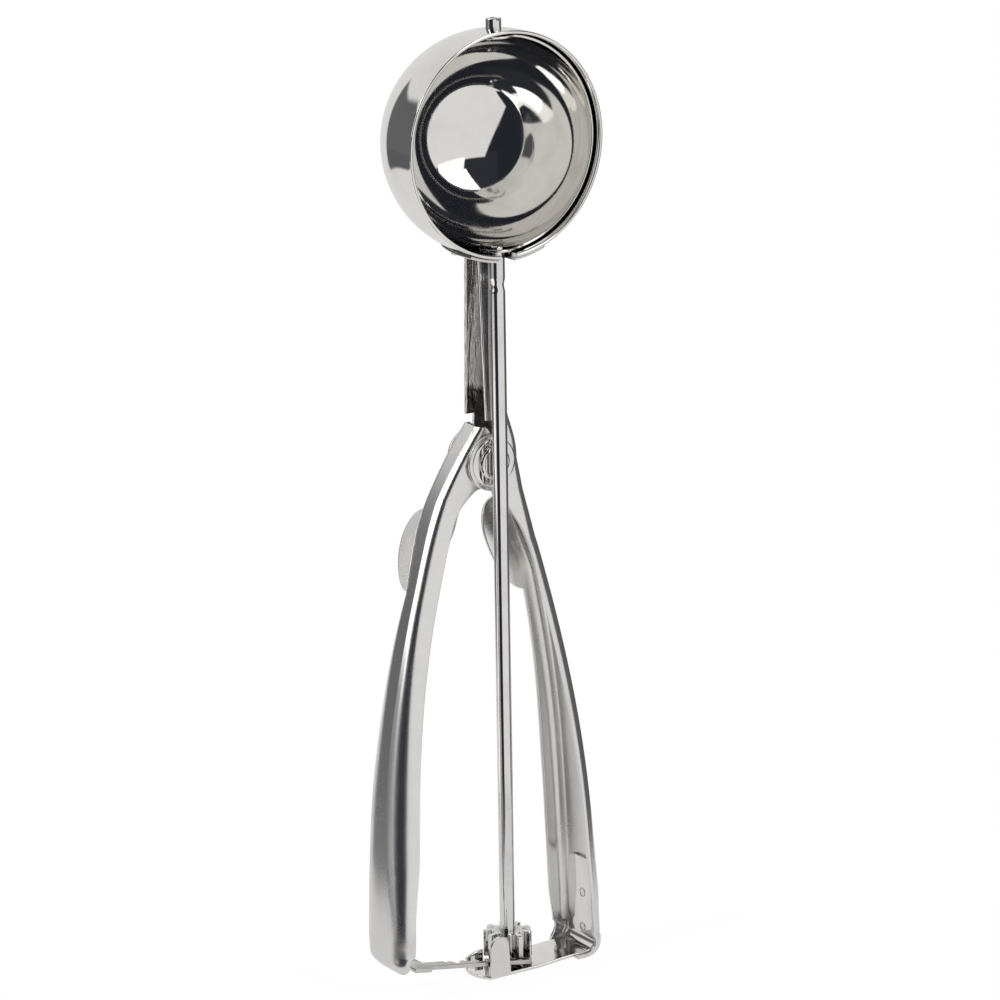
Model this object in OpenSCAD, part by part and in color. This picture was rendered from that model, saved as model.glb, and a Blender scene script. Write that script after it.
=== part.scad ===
// Lever ice cream scoop: a round bowl on a sheet steel handle, with a squeezed lever
// whose toothed rack turns a pinion, a drive rod and a scraper blade inside the bowl.
// Frame: X is the squeeze direction with the fixed handle at +X and the lever at -X,
// the bowl opens towards -Y, Z runs up along the drive rod, and Z = 0 is the foot.

/* [Bowl] */
// Outer diameter of the bowl
bowl_d = 51; // [47:0.5:55]
// Sheet thickness of the bowl
bowl_wall = 0.8; // [0.6:0.05:1]
// Straight band between the middle of the ball and the rim
bowl_band = 5.2; // [4:0.2:6.4]
// Sheet thickness of the saddle under the bowl
saddle_t = 0.9; // [0.7:0.1:1.2]
// Width of the saddle across the handle
saddle_w = 20; // [17:0.5:23]
// Reach of the saddle towards the back
saddle_back = 9.5; // [8:0.5:11]

/* [Drive] */
// Diameter of the drive rod
rod_d = 3.5; // [3:0.1:4]
// Radial play of the rod in the slot of the bowl
slot_play = 0.3; // [0.25:0.05:0.5]
// Radial play of a turning pin in its hole
pin_play = 0.05; // [0.03:0.01:0.1]
// Depth of the groove rolled into the rod
groove_depth = 0.25; // [0.15:0.05:0.4]
// Number of teeth on the pinion
pinion_teeth = 9; // [9:1:9]
// Radius at which the pinion rolls on the rack
pinion_pitch_r = 5; // [4.8:0.05:5.2]
// Length of the pinion along the rod
pinion_len = 6.2; // [5:0.2:7]
// Thickness of the washer under the pinion
washer_t = 0.7; // [0.4:0.1:0.8]

/* [Scraper] */
// Width of the scraper band
blade_w = 5.2; // [4:0.2:6]
// Sheet thickness of the scraper band
blade_t = 0.6; // [0.5:0.05:0.8]
// Gap between the scraper and the bowl
blade_gap = 0.2; // [0.15:0.05:0.5]
// Radius of the round pads at the ends of the scraper
pad_r = 4.3; // [3.8:0.1:4.8]
// Angle by which the resting band leans out of the side of the bowl
blade_rest = 2; // [0:0.5:3]
// Diameter of the pin on top of the bowl
top_pin_d = 3.5; // [3.2:0.1:4]
// Height of the pin above the bowl
top_pin_h = 2.3; // [2:0.1:3.5]
// Radius of the burrs riveted over inside the pads
burr_r = 1.5; // [1.3:0.1:1.8]
// Radius of the spigots through the pads
spigot_pad_r = 0.8; // [0.6:0.1:1]

/* [Handles] */
// Height of the lever's pivot above the foot
pivot_z = 119.2; // [114:0.5:124]
// Distance of the pivot from the rod towards the fixed handle
pivot_x = 0.5; // [0:0.1:0.8]
// Length of the neck between the pivot and the saddle
neck_len = 47.6; // [44:0.5:52]
// Sheet thickness of both handles
sheet = 0.9; // [0.8:0.05:1.1]
// Reach of the fixed handle's back from the rod at the neck
neck_x = 4.3; // [4:0.1:4.6]
// Reach of the fixed handle's back from the rod at the pivot
shoulder_x = 7.7; // [7.2:0.1:8.2]
// Outward bow of the fixed handle below the pivot
handle_bow = 12.9; // [12.4:0.1:13.6]
// Outward reach of the open lever below its top end
lever_reach = 36; // [35:0.5:37]
// Height over which the lever bends outward
lever_ease = 46; // [44:0.5:48]
// Height of the lever's lower end above the foot
lever_foot = 6.6; // [6.2:0.2:7.4]
// Distance of the front face behind the rod at the pivot
front_y = 3.3; // [3.2:0.05:3.6]
// Width of the channel over its two flanges at the pivot
channel_w = 9.5; // [9:0.1:10]
// Distance of the front face before the rod at the foot
foot_front = 10; // [9.8:0.1:10.6]
// Distance of the back face behind the rod at the grip
grip_back = 7; // [6.6:0.1:7.4]
// Distance of the back face behind the rod at the foot
foot_back = 5; // [4.6:0.1:5.4]
// Depth of the fixed handle's front flange
fixed_front_depth = 3.6; // [3.2:0.1:4.2]
// Depth of the fixed handle's back flange
fixed_back_depth = 5.6; // [5:0.1:6]
// Depth of the lever's flanges
lever_depth = 5.6; // [5:0.1:6]
// Extra depth of the finger lobe on the back flange
lobe_depth = 6.2; // [4:0.2:7]
// Width of the thumb wing on the lever
wing_w = 4.3; // [3.5:0.1:4.8]
// Radius of the bend at the fixed handle's lower end
heel_r = 5.2; // [4.6:0.2:5.8]
// Radius of the bend at the lever's lower end
lever_heel_r = 4.3; // [4:0.1:4.6]

/* [Pivot] */
// Radius of the fixed handle's round ears
ear_r = 6.7; // [6.2:0.1:7]
// Radius of the lever's round ears
lever_ear_r = 6; // [5.6:0.1:6.4]
// Gap between a handle's ear and the lever's ear
ear_gap = 0.2; // [0.15:0.05:0.3]
// Diameter of the pivot rivet's shank
rivet_d = 3; // [2.6:0.1:3.2]
// Radius of the rivet's heads
rivet_head_r = 3.9; // [3.6:0.1:4.2]
// Wire diameter of the return spring
spring_wire = 0.9; // [0.7:0.05:1]
// Mean radius of the return spring
spring_r = 3.2; // [3.1:0.05:3.4]

/* [Foot and rack] */
// Thickness of the foot bracket
bracket_t = 0.8; // [0.6:0.05:0.9]
// Height of the bracket's floor over the heel
heel_seat = 0.5; // [0.4:0.05:0.7]
// Width of the bracket's strip
bracket_w = 11.1; // [10.8:0.1:11.4]
// Reach of the bracket's rounded end beyond the rod
bracket_nose = 12.1; // [11.5:0.1:12.5]
// Height of the bracket's tab inside the fixed handle
tab_h = 22.5; // [18:0.5:25]
// Width of the front ear that keeps the rack in mesh
guard_w = 5.1; // [4.6:0.1:5.6]
// Height of the front ear
guard_h = 9.9; // [9.2:0.1:11]
// Middle of the front ear from the rod
guard_x = -7.45; // [-7.75:0.05:-7.15]
// Distance of the ear's inner face from the rod
guard_y = 7.5; // [7.4:0.05:7.7]
// Sheet thickness of the rack
rack_t = 1; // [0.8:0.05:1.1]
// Width of the rack's back strip behind the teeth
rack_back = 1.2; // [1:0.05:1.2]
// Slope of the rack when the lever is squeezed, in degrees
rack_tilt = 1.9; // [1:0.1:2.2]
// Swing of the lever from open to squeezed, in degrees
lever_swing = 7.7; // [6:0.1:7.7]

/* [Hidden] */
$fn = 64;
eps = 0.01;

steel = "#c4c4c4";
bright = "#dcdcdc";
dark_steel = "#8f8f8f";

// Heights and radii that follow from the sizes above
bowl_r = bowl_d / 2;
bowl_z = pivot_z + neck_len + saddle_t + bowl_r;
bowl_in_r = bowl_r - bowl_wall;
blade_r = bowl_in_r - blade_gap;
pad_in_r = blade_r - blade_t;
burr_t = 0.6;
burr_sink = pad_in_r - sqrt(pad_in_r * pad_in_r - burr_r * burr_r);
slot_r = rod_d / 2 + slot_play;
rod_top = bowl_z - blade_r;
top_pin_top = bowl_z + bowl_r + top_pin_h;
spigot_r = rod_d / 2 - 0.5;
washer_z = bracket_t + 0.1;
pinion_z = washer_z + washer_t;

// Ears at the pivot, from the front to the back
side_play = 0.05;
ear_back_y = front_y + channel_w;
lever_front_y = front_y + sheet + ear_gap;
lever_back_y = ear_back_y - sheet - ear_gap;
sleeve_front_y = lever_front_y + sheet + side_play;
sleeve_back_y = lever_back_y - sheet - side_play;
boss_t = 0.3;

// Heights at which the handles change their form
flat_low_z = pivot_z - 8;
waist_z = pivot_z - 29;
neck_z = pivot_z + 16;
neck_top_z = pivot_z + neck_len + 3;
neck_back_y = front_y + 5.7;
notch_z = pivot_z + ear_r + 3.2;
bend_z = 15;
lobe_z = pivot_z - 21.5;
lobe_half = 10.8;
wing_z = pivot_z - 18.7;
wing_half = 8.7;

// Blends used along the handles
function mix(a, b, t) = a + (b - a) * t;
function clamp01(t) = max(0, min(1, t));
function smooth(t) = let (c = clamp01(t)) c * c * (3 - 2 * c);
function hump(z, middle, half) =
    let (q = (z - middle) / half) abs(q) < 1 ? pow(1 - q * q, 0.6) : 0;
function grade(z0, z1, n) = [for (i = [0 : n]) mix(z0, z1, i / n)];

// Front and back faces of the handles as Y at a height
function face_front(z) = mix(front_y, -foot_front, clamp01((flat_low_z - z) / (flat_low_z - bend_z)));
function face_back(z) =
    z > pivot_z + 7 ? mix(ear_back_y, neck_back_y, clamp01((z - pivot_z - 7) / (neck_len - 7)))
    : z > waist_z ? mix(grip_back + 0.4, ear_back_y, smooth((z - waist_z) / (flat_low_z - waist_z)))
    : mix(foot_back, grip_back + 0.4, smooth(z / 50));

// Back of the fixed handle as X at a height, and the depths of its flanges
function fixed_x(z) =
    z > pivot_z ? mix(shoulder_x, neck_x, smooth((z - pivot_z) / (neck_z - pivot_z)))
    : shoulder_x + handle_bow * sin(90 * min(1, (pivot_z - z) / (0.72 * pivot_z)));
function neck_rise(z) = clamp01((z - notch_z) / (neck_top_z - notch_z));
function fixed_front_flange(z) =
    z > notch_z ? fixed_x(z) + mix(1.4, 2.9, neck_rise(z))
    : z > flat_low_z ? fixed_x(z) - 1.6
    : fixed_front_depth + 3.4 * pow(smooth((z - pivot_z + 26) / 19), 2) - 0.5 * smooth((12 - z) / 7);
function fixed_back_flange(z) =
    z > notch_z ? fixed_x(z) + mix(1.5, 3.2, neck_rise(z))
    : z > flat_low_z ? fixed_x(z) - 0.8
    : fixed_back_depth - smooth((z - 45) / 40) - 0.8 * smooth((14 - z) / 9)
      + lobe_depth * hump(z, lobe_z, lobe_half);

// Back of the open lever as the distance towards -X at a height, and the depths of its flanges
lever_top_z = pivot_z + 8.1;
function lever_x(z) = 2.5 + lever_reach * (1 - exp((z - lever_top_z) / lever_ease));
function lever_nest(z) = (sheet + ear_gap) * smooth((z - waist_z) / (flat_low_z - waist_z));
function lever_front(z) = face_front(z) + lever_nest(z);
function lever_back(z) = face_back(min(z, pivot_z)) - lever_nest(z);
function lever_top_depth(z) = 1.9 + 1.6 * (lever_top_z - z);
function lever_foot_depth(z) = lever_depth - 1.5 * smooth((34 - z) / 18);
function lever_front_flange(z) =
    z > pivot_z ? min(lever_top_depth(z), lever_x(z) + 1)
    : min(lever_x(z) + 1, lever_foot_depth(z) + 0.8 * smooth((z - pivot_z + 13) / 5)
          + 6 * pow(smooth((z - pivot_z + 9.2) / 5), 2));
function lever_back_flange(z) =
    z > flat_low_z ? min(lever_top_depth(z), lever_x(z) + 1.4)
    : lever_foot_depth(z) + 5.4 * smooth((z - waist_z) / 14) + 3.1 * smooth((z - flat_low_z + 5) / 6);

// One cross-section of a channel as [depth from the back, Y], walked along the outside
// from the front flange to the back flange and returned along the inside
corner_steps = 4;
function handle_round(z) = mix(2.4, 1.5, clamp01((z - 60) / 60));
function corner(cx, cy, r, a0, a1) =
    [for (i = [0 : corner_steps]) let (a = mix(a0, a1, i / corner_steps)) [cx + r * cos(a), cy + r * sin(a)]];
function channel_ring(yf, yb, df, db, r) =
    let (ri = max(r - sheet, 0.2), ci = sheet + ri)
    concat([[df, yf]],
           corner(r, yf + r, r, 270, 180),
           corner(r, yb - r, r, 180, 90),
           [[db, yb], [db, yb - sheet]],
           corner(ci, yb - ci, ri, 90, 180),
           corner(ci, yf + ci, ri, 180, 270),
           [[df, yf + sheet]]);

// A closed skin over rings that all have the same number of points. The ends are strips
// between the outer and the inner walk, because a channel isn't convex.
module skin(rings) {
    n = len(rings[0]);
    last = len(rings) - 1;
    sides = [for (k = [0 : last - 1], i = [0 : n - 1])
             let (a = k * n + i, b = k * n + (i + 1) % n, c = a + n, d = b + n)
             each [[a, b, d], [a, d, c]]];
    start = [for (i = [0 : n / 2 - 2]) each [[i, n - 1 - i, i + 1], [i + 1, n - 1 - i, n - 2 - i]]];
    finish = [for (f = start) [f[0] + last * n, f[2] + last * n, f[1] + last * n]];
    polyhedron([for (ring = rings) each ring], concat(sides, start, finish), convexity = 10);
}

// Heel of a handle: rings fanned about a point, with the bend drawn squarer than round
heel_steps = 7;
rim_left = 1.3;
function heel_reach(a, r, square) = r * (1 + square * pow(sin(2 * a), 2));
function heel_ring(a, r, square, x0, z0, yf, yb, df, db, sign) =
    let (reach = heel_reach(a, r, square), t = a / 90)
    [for (p = channel_ring(yf, yb, mix(df, rim_left, t), mix(db, rim_left, pow(t, 3)), mix(2.4, 1.1, t)))
     [x0 + sign * (reach - p[0]) * cos(a), p[1], z0 - (reach - p[0]) * sin(a)]];

fixed_square = 0.1;
heel_toe = 2;
toe_narrow = 2.4;
module fixed_shell() {
    stations = concat(grade(neck_top_z, notch_z + eps, 6), grade(notch_z - 0.4, flat_low_z + eps, 6),
                      grade(flat_low_z - 0.3, waist_z - 4, 18), grade(waist_z - 8, heel_r + eps, 14));
    straight = [for (z = stations)
        [for (p = channel_ring(face_front(z), face_back(z), fixed_front_flange(z), fixed_back_flange(z),
                               handle_round(z))) [fixed_x(z) - p[0], p[1], z]]];
    function bend(a, back) =
        heel_ring(a, heel_r, fixed_square, fixed_x(0) - heel_r, heel_r, face_front(heel_r), back,
                  fixed_front_flange(heel_r), fixed_back_flange(heel_r), 1);
    heel = [for (i = [0 : heel_steps]) bend(90 * i / heel_steps, face_back(heel_r))];
    toe = [for (p = bend(90, face_back(heel_r) - toe_narrow)) p - [heel_toe, 0, 0]];
    skin(concat(straight, heel, [toe]));
}

// Round ears and the holes for the rivet
module ear(y, r, t) {
    translate([pivot_x, y, pivot_z]) rotate([-90, 0, 0]) cylinder(r = r, h = t);
}

module fixed_handle() color(steel) difference() {
    union() {
        fixed_shell();
        ear(front_y, ear_r, sheet);
        ear(ear_back_y - sheet, ear_r, sheet);
        // Raised seat of the rivet's front head
        ear(front_y - boss_t, ear_r - 1.4, boss_t + sheet);
    }
    ear(front_y - 1, rivet_d / 2, channel_w + 2);
    // The neck ends on the saddle
    translate([0, 0, bowl_z]) sphere(r = bowl_r + saddle_t);
    bracket_seat();
}

lever_heel_turn = 60;
lever_square = 0.2;
lever_heel_z = lever_foot + heel_reach(lever_heel_turn, lever_heel_r, lever_square) * sin(lever_heel_turn);
lever_heel_x = lever_heel_r - lever_x(lever_heel_z);
module lever_shell() {
    stations = concat(grade(lever_top_z, flat_low_z + eps, 10), grade(flat_low_z - 0.3, waist_z - 4, 16),
                      grade(waist_z - 8, lever_heel_z + eps, 14));
    straight = [for (z = stations)
        [for (p = channel_ring(lever_front(z), lever_back(z), lever_front_flange(z), lever_back_flange(z),
                               handle_round(z))) [p[0] - lever_x(z), p[1], z]]];
    z = lever_heel_z;
    heel = [for (i = [0 : heel_steps])
            heel_ring(lever_heel_turn * i / heel_steps, lever_heel_r, lever_square, lever_heel_x, z,
                      lever_front(z), lever_back(z), lever_front_flange(z), lever_back_flange(z), -1)];
    skin([for (ring = concat(straight, heel)) [for (i = [len(ring) - 1 : -1 : 0]) ring[i]]]);
}

// The wing is a strip that flares outward and backward from the lever's back corner
wing_root = 1.4;
wing_start = -1.1;
module thumb_wing() {
    out = [-0.3, 0.954];
    half = 0.47 * [0.954, 0.3];
    skin([for (z = grade(wing_z + wing_half, wing_z - wing_half, 14))
          let (c = [-lever_x(z), lever_back(z)], root = c - wing_root * out,
               tip = c + (wing_start + wing_w * hump(z, wing_z, wing_half)) * out)
          [for (q = [root + half, tip + half, tip - half, root - half]) [q[0], q[1], z]]]);
}

// The lever's lower back corner is cut off slanting
module corner_cut()
    translate([-60, 0, 0]) rotate([90, 0, 90]) linear_extrude(60)
        polygon([[grip_back + 2, lever_foot + 9], [foot_back + 0.2, lever_foot + 4.8],
                 [foot_back - 2.5, lever_foot + 2.2], [-1, lever_foot + 0.7], [-4, lever_foot - 0.2],
                 [-4, -5], [grip_back + 2, -5]]);

module lever_handle() color(steel) difference() {
    union() {
        lever_shell();
        thumb_wing();
        ear(lever_front_y, lever_ear_r, sheet);
        ear(lever_back_y - sheet, lever_ear_r, sheet);
    }
    ear(front_y - 1, rivet_d / 2 + pin_play, channel_w + 2);
    corner_cut();
}

// Rivet with a flat front head and a domed back head
module pivot_rivet() color(bright) {
    seat = front_y - boss_t;
    head_t = 0.75;
    dome_h = 2.3;
    translate([pivot_x, 0, pivot_z]) rotate([-90, 0, 0]) rotate_extrude()
        polygon(concat([[0, seat - head_t], [rivet_head_r - 0.6, seat - head_t],
                        [rivet_head_r, seat - head_t / 2], [rivet_head_r, seat], [rivet_d / 2, seat],
                        [rivet_d / 2, ear_back_y]],
                       [for (i = [0 : 8]) [(rivet_head_r + 0.6) * cos(90 * i / 8),
                                           ear_back_y + dome_h * sin(90 * i / 8)]]));
}

module pivot_sleeve() color(dark_steel)
    translate([pivot_x, sleeve_front_y, pivot_z]) rotate([-90, 0, 0]) difference() {
        cylinder(r = rivet_d / 2 + 0.75, h = sleeve_back_y - sleeve_front_y);
        translate([0, 0, -1]) cylinder(r = rivet_d / 2, h = channel_w + 2);
    }

// A tube of a constant radius swept along points
function unit(v) = v / norm(v);
module tube(path, r, sides) {
    last = len(path) - 1;
    rings = [for (i = [0 : last])
             let (d = unit(path[min(i + 1, last)] - path[max(i - 1, 0)]),
                  side = unit(cross(d, [0, 1, 0])), up = cross(side, d))
             [for (k = [0 : sides - 1]) let (a = 360 * k / sides)
              path[i] + r * (cos(a) * side + sin(a) * up)]];
    polyhedron([for (ring = rings) each ring],
        concat([for (i = [0 : last - 1], k = [0 : sides - 1])
                let (a = i * sides + k, b = i * sides + (k + 1) % sides)
                each [[a, b, b + sides], [a, b + sides, a + sides]]],
               [[for (k = [sides - 1 : -1 : 0]) k]], [[for (k = [0 : sides - 1]) last * sides + k]]));
}

// Coil round the sleeve with one leg against the inside of the fixed handle
spring_turns = 3.375;
coil_steps = 54;
spring_front_y = sleeve_front_y + spring_wire / 2 + 0.1;
spring_back_y = sleeve_back_y - spring_wire / 2 - 0.1;
leg_low_z = pivot_z - 3.6 * spring_r;
function on_coil(t) =
    [pivot_x + spring_r * cos(360 * spring_turns * t), mix(spring_front_y, spring_back_y, t),
     pivot_z + spring_r * sin(360 * spring_turns * t)];

module return_spring() color(dark_steel) {
    leg_end = [fixed_x(leg_low_z) - sheet - spring_wire / 2 - 0.15, spring_front_y, leg_low_z];
    coil = [for (i = [0 : coil_steps]) on_coil(i / coil_steps)];
    tube(concat([leg_end, mix(leg_end, on_coil(0), 0.8)], coil), spring_wire / 2, 8);
}

// The other leg leaves the coil on a tangent and bears on the inside of the lever
leg_len = 12.6;
leg_gap = 0.12;
module lever_spring_leg() color(dark_steel)
    translate(on_coil(1)) rotate([0, 225, 0]) translate([0, 0, leg_gap])
        cylinder(r = spring_wire / 2, h = leg_len);

// Half ball with a straight band in front, open towards -Y
module ball(r, band) translate([0, 0, bowl_z]) rotate([90, 0, 0]) rotate_extrude() union() {
    intersection() {
        circle(r = r);
        translate([0, -r]) square([r, r + eps]);
    }
    square([r, band]);
}

// Slot for the rod, open towards the rim
module rod_slot() translate([0, 0, bowl_z - bowl_r - 6]) {
    cylinder(r = slot_r, h = 12);
    translate([-slot_r, -bowl_band - 2, 0]) cube([2 * slot_r, bowl_band + 2, 12]);
}

module bowl() color(bright) difference() {
    ball(bowl_r, bowl_band);
    ball(bowl_in_r, bowl_band + 1);
    translate([0, 0, bowl_z]) cylinder(r = top_pin_d / 2 + pin_play, h = bowl_r + 1);
    rod_slot();
}

// Curved plate between the bowl and the neck
module bowl_saddle() color(steel) difference() {
    intersection() {
        translate([0, 0, bowl_z]) sphere(r = bowl_r + saddle_t);
        translate([0, 0, bowl_z - bowl_r - 8]) linear_extrude(20) saddle_plan();
    }
    translate([0, 0, bowl_z]) sphere(r = bowl_r);
    translate([0, 0, bowl_z]) rotate([90, 0, 0]) cylinder(r = bowl_r, h = bowl_band + 1);
    rod_slot();
}
module saddle_plan() {
    r = 3;
    front = bowl_band - 0.8;
    translate([-saddle_w / 2, -front]) square([saddle_w, front + saddle_back - r]);
    translate([r - saddle_w / 2, 0]) square([saddle_w - 2 * r, saddle_back]);
    for (s = [-1, 1]) translate([s * (saddle_w / 2 - r), saddle_back - r]) circle(r = r);
}

// Spot welds under the saddle, each flat where it meets the curve
weld_r = 1.3;
weld_t = 0.25;
module saddle_welds() color(dark_steel) for (s = [-1, 1])
    translate([0, 0, bowl_z]) rotate([0, s * 17, 0]) rotate([10, 0, 0])
        translate([0, 0, -bowl_r - saddle_t - weld_t]) cylinder(r = weld_r, h = weld_t);

// Foot bracket: floor that rises over the heel, tab up the handle, front ear and back lip
tab_x = fixed_x(0) - sheet;
bend_r = 3.3;
floor_rise_x = 2;
floor_top_x = tab_x - heel_r - 1.4;
strip_front = guard_y + bracket_t;
strip_mid_y = bracket_w / 2 - strip_front;
nose_r = 8.5;
// The heel is pressed thinner where the floor lies on it, and its corners make way for the tab
module bracket_seat() translate([0, bracket_w - strip_front, 0]) rotate([90, 0, 0])
    linear_extrude(bracket_w) {
        translate([floor_rise_x, heel_seat]) square([tab_x - bend_r - floor_rise_x, bend_r]);
        translate([tab_x - bend_r, heel_seat + bend_r]) circle(r = bend_r);
        translate([tab_x - bend_r, heel_seat + bend_r]) square([bend_r, tab_h - heel_seat - bend_r]);
    }
module bracket_profile() {
    t = bracket_t;
    polygon([[-bracket_nose - 1, 0], [floor_rise_x, 0], [floor_top_x, heel_seat],
             [tab_x - bend_r + eps, heel_seat], [tab_x - bend_r + eps, heel_seat + t],
             [floor_top_x, heel_seat + t], [floor_rise_x, t], [-bracket_nose - 1, t]]);
    translate([tab_x - bend_r, heel_seat + bend_r]) intersection() {
        difference() {
            circle(r = bend_r);
            circle(r = bend_r - t);
        }
        translate([0, -bend_r]) square([bend_r, bend_r + eps]);
    }
    translate([tab_x - t, heel_seat + bend_r]) square([t, tab_h - heel_seat - bend_r]);
}
module bracket_plan() intersection() {
    translate([-bracket_nose, -strip_front]) square([60, bracket_w]);
    union() {
        translate([nose_r - bracket_nose, strip_mid_y]) circle(r = nose_r);
        translate([nose_r - bracket_nose, -20]) square([60, 40]);
    }
}
module rounded_tab() {
    r = 3;
    translate([-strip_front, -1]) square([bracket_w, tab_h + 1 - r]);
    translate([r - strip_front, -1]) square([bracket_w - 2 * r, tab_h + 1]);
    for (s = [-1, 1]) translate([strip_mid_y + s * (bracket_w / 2 - r), tab_h - r]) circle(r = r);
}
module guard_ear() {
    r = guard_w / 2;
    translate([0, -guard_y, 0]) rotate([90, 0, 0]) linear_extrude(bracket_t) {
        polygon([[guard_x - r, 0], [guard_x + r + 0.5, 0], [guard_x + r, guard_h - r],
                 [guard_x - r, guard_h - r]]);
        translate([guard_x, guard_h - r]) circle(r = r);
    }
}
// The lip is turned up along the back edge beside the pinion
lip_end = 5.5;
lip_h = 2.6;
module back_lip() translate([0, bracket_w - strip_front, 0]) rotate([90, 0, 0]) linear_extrude(bracket_t)
    intersection() {
        translate([-lip_end, 0]) scale([1.7, 1]) circle(r = lip_h + bracket_t);
        translate([2 - bracket_nose, 0]) square([bracket_nose - 2 - lip_end, 10]);
    }
module foot_bracket() color(bright) difference() {
    union() {
        intersection() {
            translate([0, 20, 0]) rotate([90, 0, 0]) linear_extrude(40) bracket_profile();
            translate([0, 0, -1]) linear_extrude(60) bracket_plan();
            rotate([90, 0, 90]) translate([0, 0, -30]) linear_extrude(60) rounded_tab();
        }
        guard_ear();
        back_lip();
    }
    translate([0, 0, -1]) cylinder(r = spigot_r + pin_play, h = 5);
}

spot_r = 1.1;
spot_t = 0.15;
module bracket_welds() color(dark_steel) for (share = [0.235, 0.615])
    translate([tab_x - bracket_t - spot_t, strip_mid_y - 0.6, share * tab_h]) rotate([0, 90, 0])
        cylinder(r = spot_r, h = spot_t);

// Rack, drawn with the lever squeezed and swung open about the pivot. The teeth stand at
// equal angles about the pivot, so that each turns the pinion by one tooth.
rack_z = 3.35;
rack_arm = pivot_z - rack_z - rack_t / 2;
rack_ratio = rack_arm / pinion_pitch_r;
tooth_angle = 360 / pinion_teeth / rack_ratio;
rack_teeth = 7;
rack_travel = rack_arm * tan(lever_swing);
rack_root_y = pinion_pitch_r + 0.95;
rack_tip_y = pinion_pitch_r - 0.75;
rack_front_y = rack_root_y + rack_back;
rack_end_x = rack_travel + 2.3;
stop_gap = 0.8;
stop_x = guard_x - guard_w / 2 - stop_gap;
shoulder_w = 4.7;
foot_w = 1.6;
function tooth_x(i) = rack_arm * tan(lever_swing + tooth_angle * (0.5 - i));

module rack_outline() {
    translate([stop_x - shoulder_w, -rack_front_y]) square([rack_end_x - stop_x + shoulder_w, rack_back]);
    // Wide foot that nears the front ear when the lever is squeezed home
    translate([stop_x - shoulder_w, -rack_front_y - foot_w]) square([shoulder_w, rack_front_y + foot_w - 1]);
    // Web behind the first tooth
    translate([stop_x - 1, -rack_root_y - eps])
        square([tooth_x(rack_teeth - 1) - stop_x - 0.6, rack_root_y - rack_tip_y]);
    for (i = [0 : rack_teeth - 1]) translate([tooth_x(i), 0])
        polygon([[-0.95, -rack_root_y - eps], [-0.45, -rack_tip_y], [0.45, -rack_tip_y],
                 [0.95, -rack_root_y - eps]]);
}
module swing_open() translate([pivot_x, 0, pivot_z]) rotate([0, lever_swing, 0])
    translate([-pivot_x, 0, -pivot_z]) children();

// Tab that lies in the lever's heel and up the inside of its back, joined to the rack's foot
foot_tab_w = 7;
foot_tab_top = lever_foot + 2.15 * foot_tab_w;
foot_tab_low = lever_heel_z + 2;
foot_tab_back = 2;
tab_gap = 0.02;
function tab_point(z, inset) = [sheet + tab_gap + inset - lever_x(z), z];
function opened(x, z) =
    let (dx = x - pivot_x, dz = z - pivot_z)
    [pivot_x + dx * cos(lever_swing) + dz * sin(lever_swing),
     pivot_z - dx * sin(lever_swing) + dz * cos(lever_swing)];
module rack_tab() {
    foot_x = stop_x - shoulder_w;
    function heel_point(a, inset) =
        let (d = heel_reach(a, lever_heel_r, lever_square) - sheet - tab_gap - inset)
        [lever_heel_x - d * cos(a), lever_heel_z - d * sin(a)];
    translate([0, foot_tab_back, 0]) rotate([90, 0, 0]) linear_extrude(foot_tab_w)
        polygon(concat([opened(foot_x, rack_z) + [0.5, 0]],
                       [for (a = [lever_heel_turn : -10 : 0]) heel_point(a, 0)],
                       [for (z = [foot_tab_low, foot_tab_top]) tab_point(z, 0)],
                       [for (z = [foot_tab_top, foot_tab_low]) tab_point(z, rack_t)],
                       [for (a = [0 : 10 : lever_heel_turn]) heel_point(a, rack_t)],
                       [opened(foot_x, rack_z + rack_t) + [0.5, 0]]));
}
module gear_rack() color(bright) {
    swing_open() translate([stop_x - shoulder_w, 0, rack_z]) rotate([0, rack_tilt, 0])
        translate([shoulder_w - stop_x, 0, 0]) linear_extrude(rack_t) rack_outline();
    rack_tab();
}
// Spot welds flat on the tab's sloping face
module rack_welds() color(dark_steel) {
    low = tab_point(foot_tab_low, rack_t);
    rise = tab_point(foot_tab_top, rack_t) - low;
    for (share = [0.2, 0.65]) translate([low[0] + share * rise[0], foot_tab_back - foot_tab_w / 2,
                                         low[1] + share * rise[1]])
        rotate([0, 90 + atan2(rise[0], rise[1]), 0]) cylinder(r = spot_r, h = spot_t);
}

// Drive rod with a rolled groove and a spigot at each end
module drive_rod() color(bright) {
    groove_z = pivot_z + neck_len - 1.9 * rod_d;
    r = rod_d / 2;
    rotate_extrude() polygon([[0, 0.2], [spigot_r, 0.2], [spigot_r, washer_z], [r, washer_z],
        [r, groove_z], [r - groove_depth, groove_z + 0.2], [r - groove_depth, groove_z + 1.3],
        [r, groove_z + 1.5], [r, rod_top], [spigot_pad_r, rod_top],
        [spigot_pad_r, rod_top + blade_t + burr_t], [0, rod_top + blade_t + burr_t]]);
}

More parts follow.
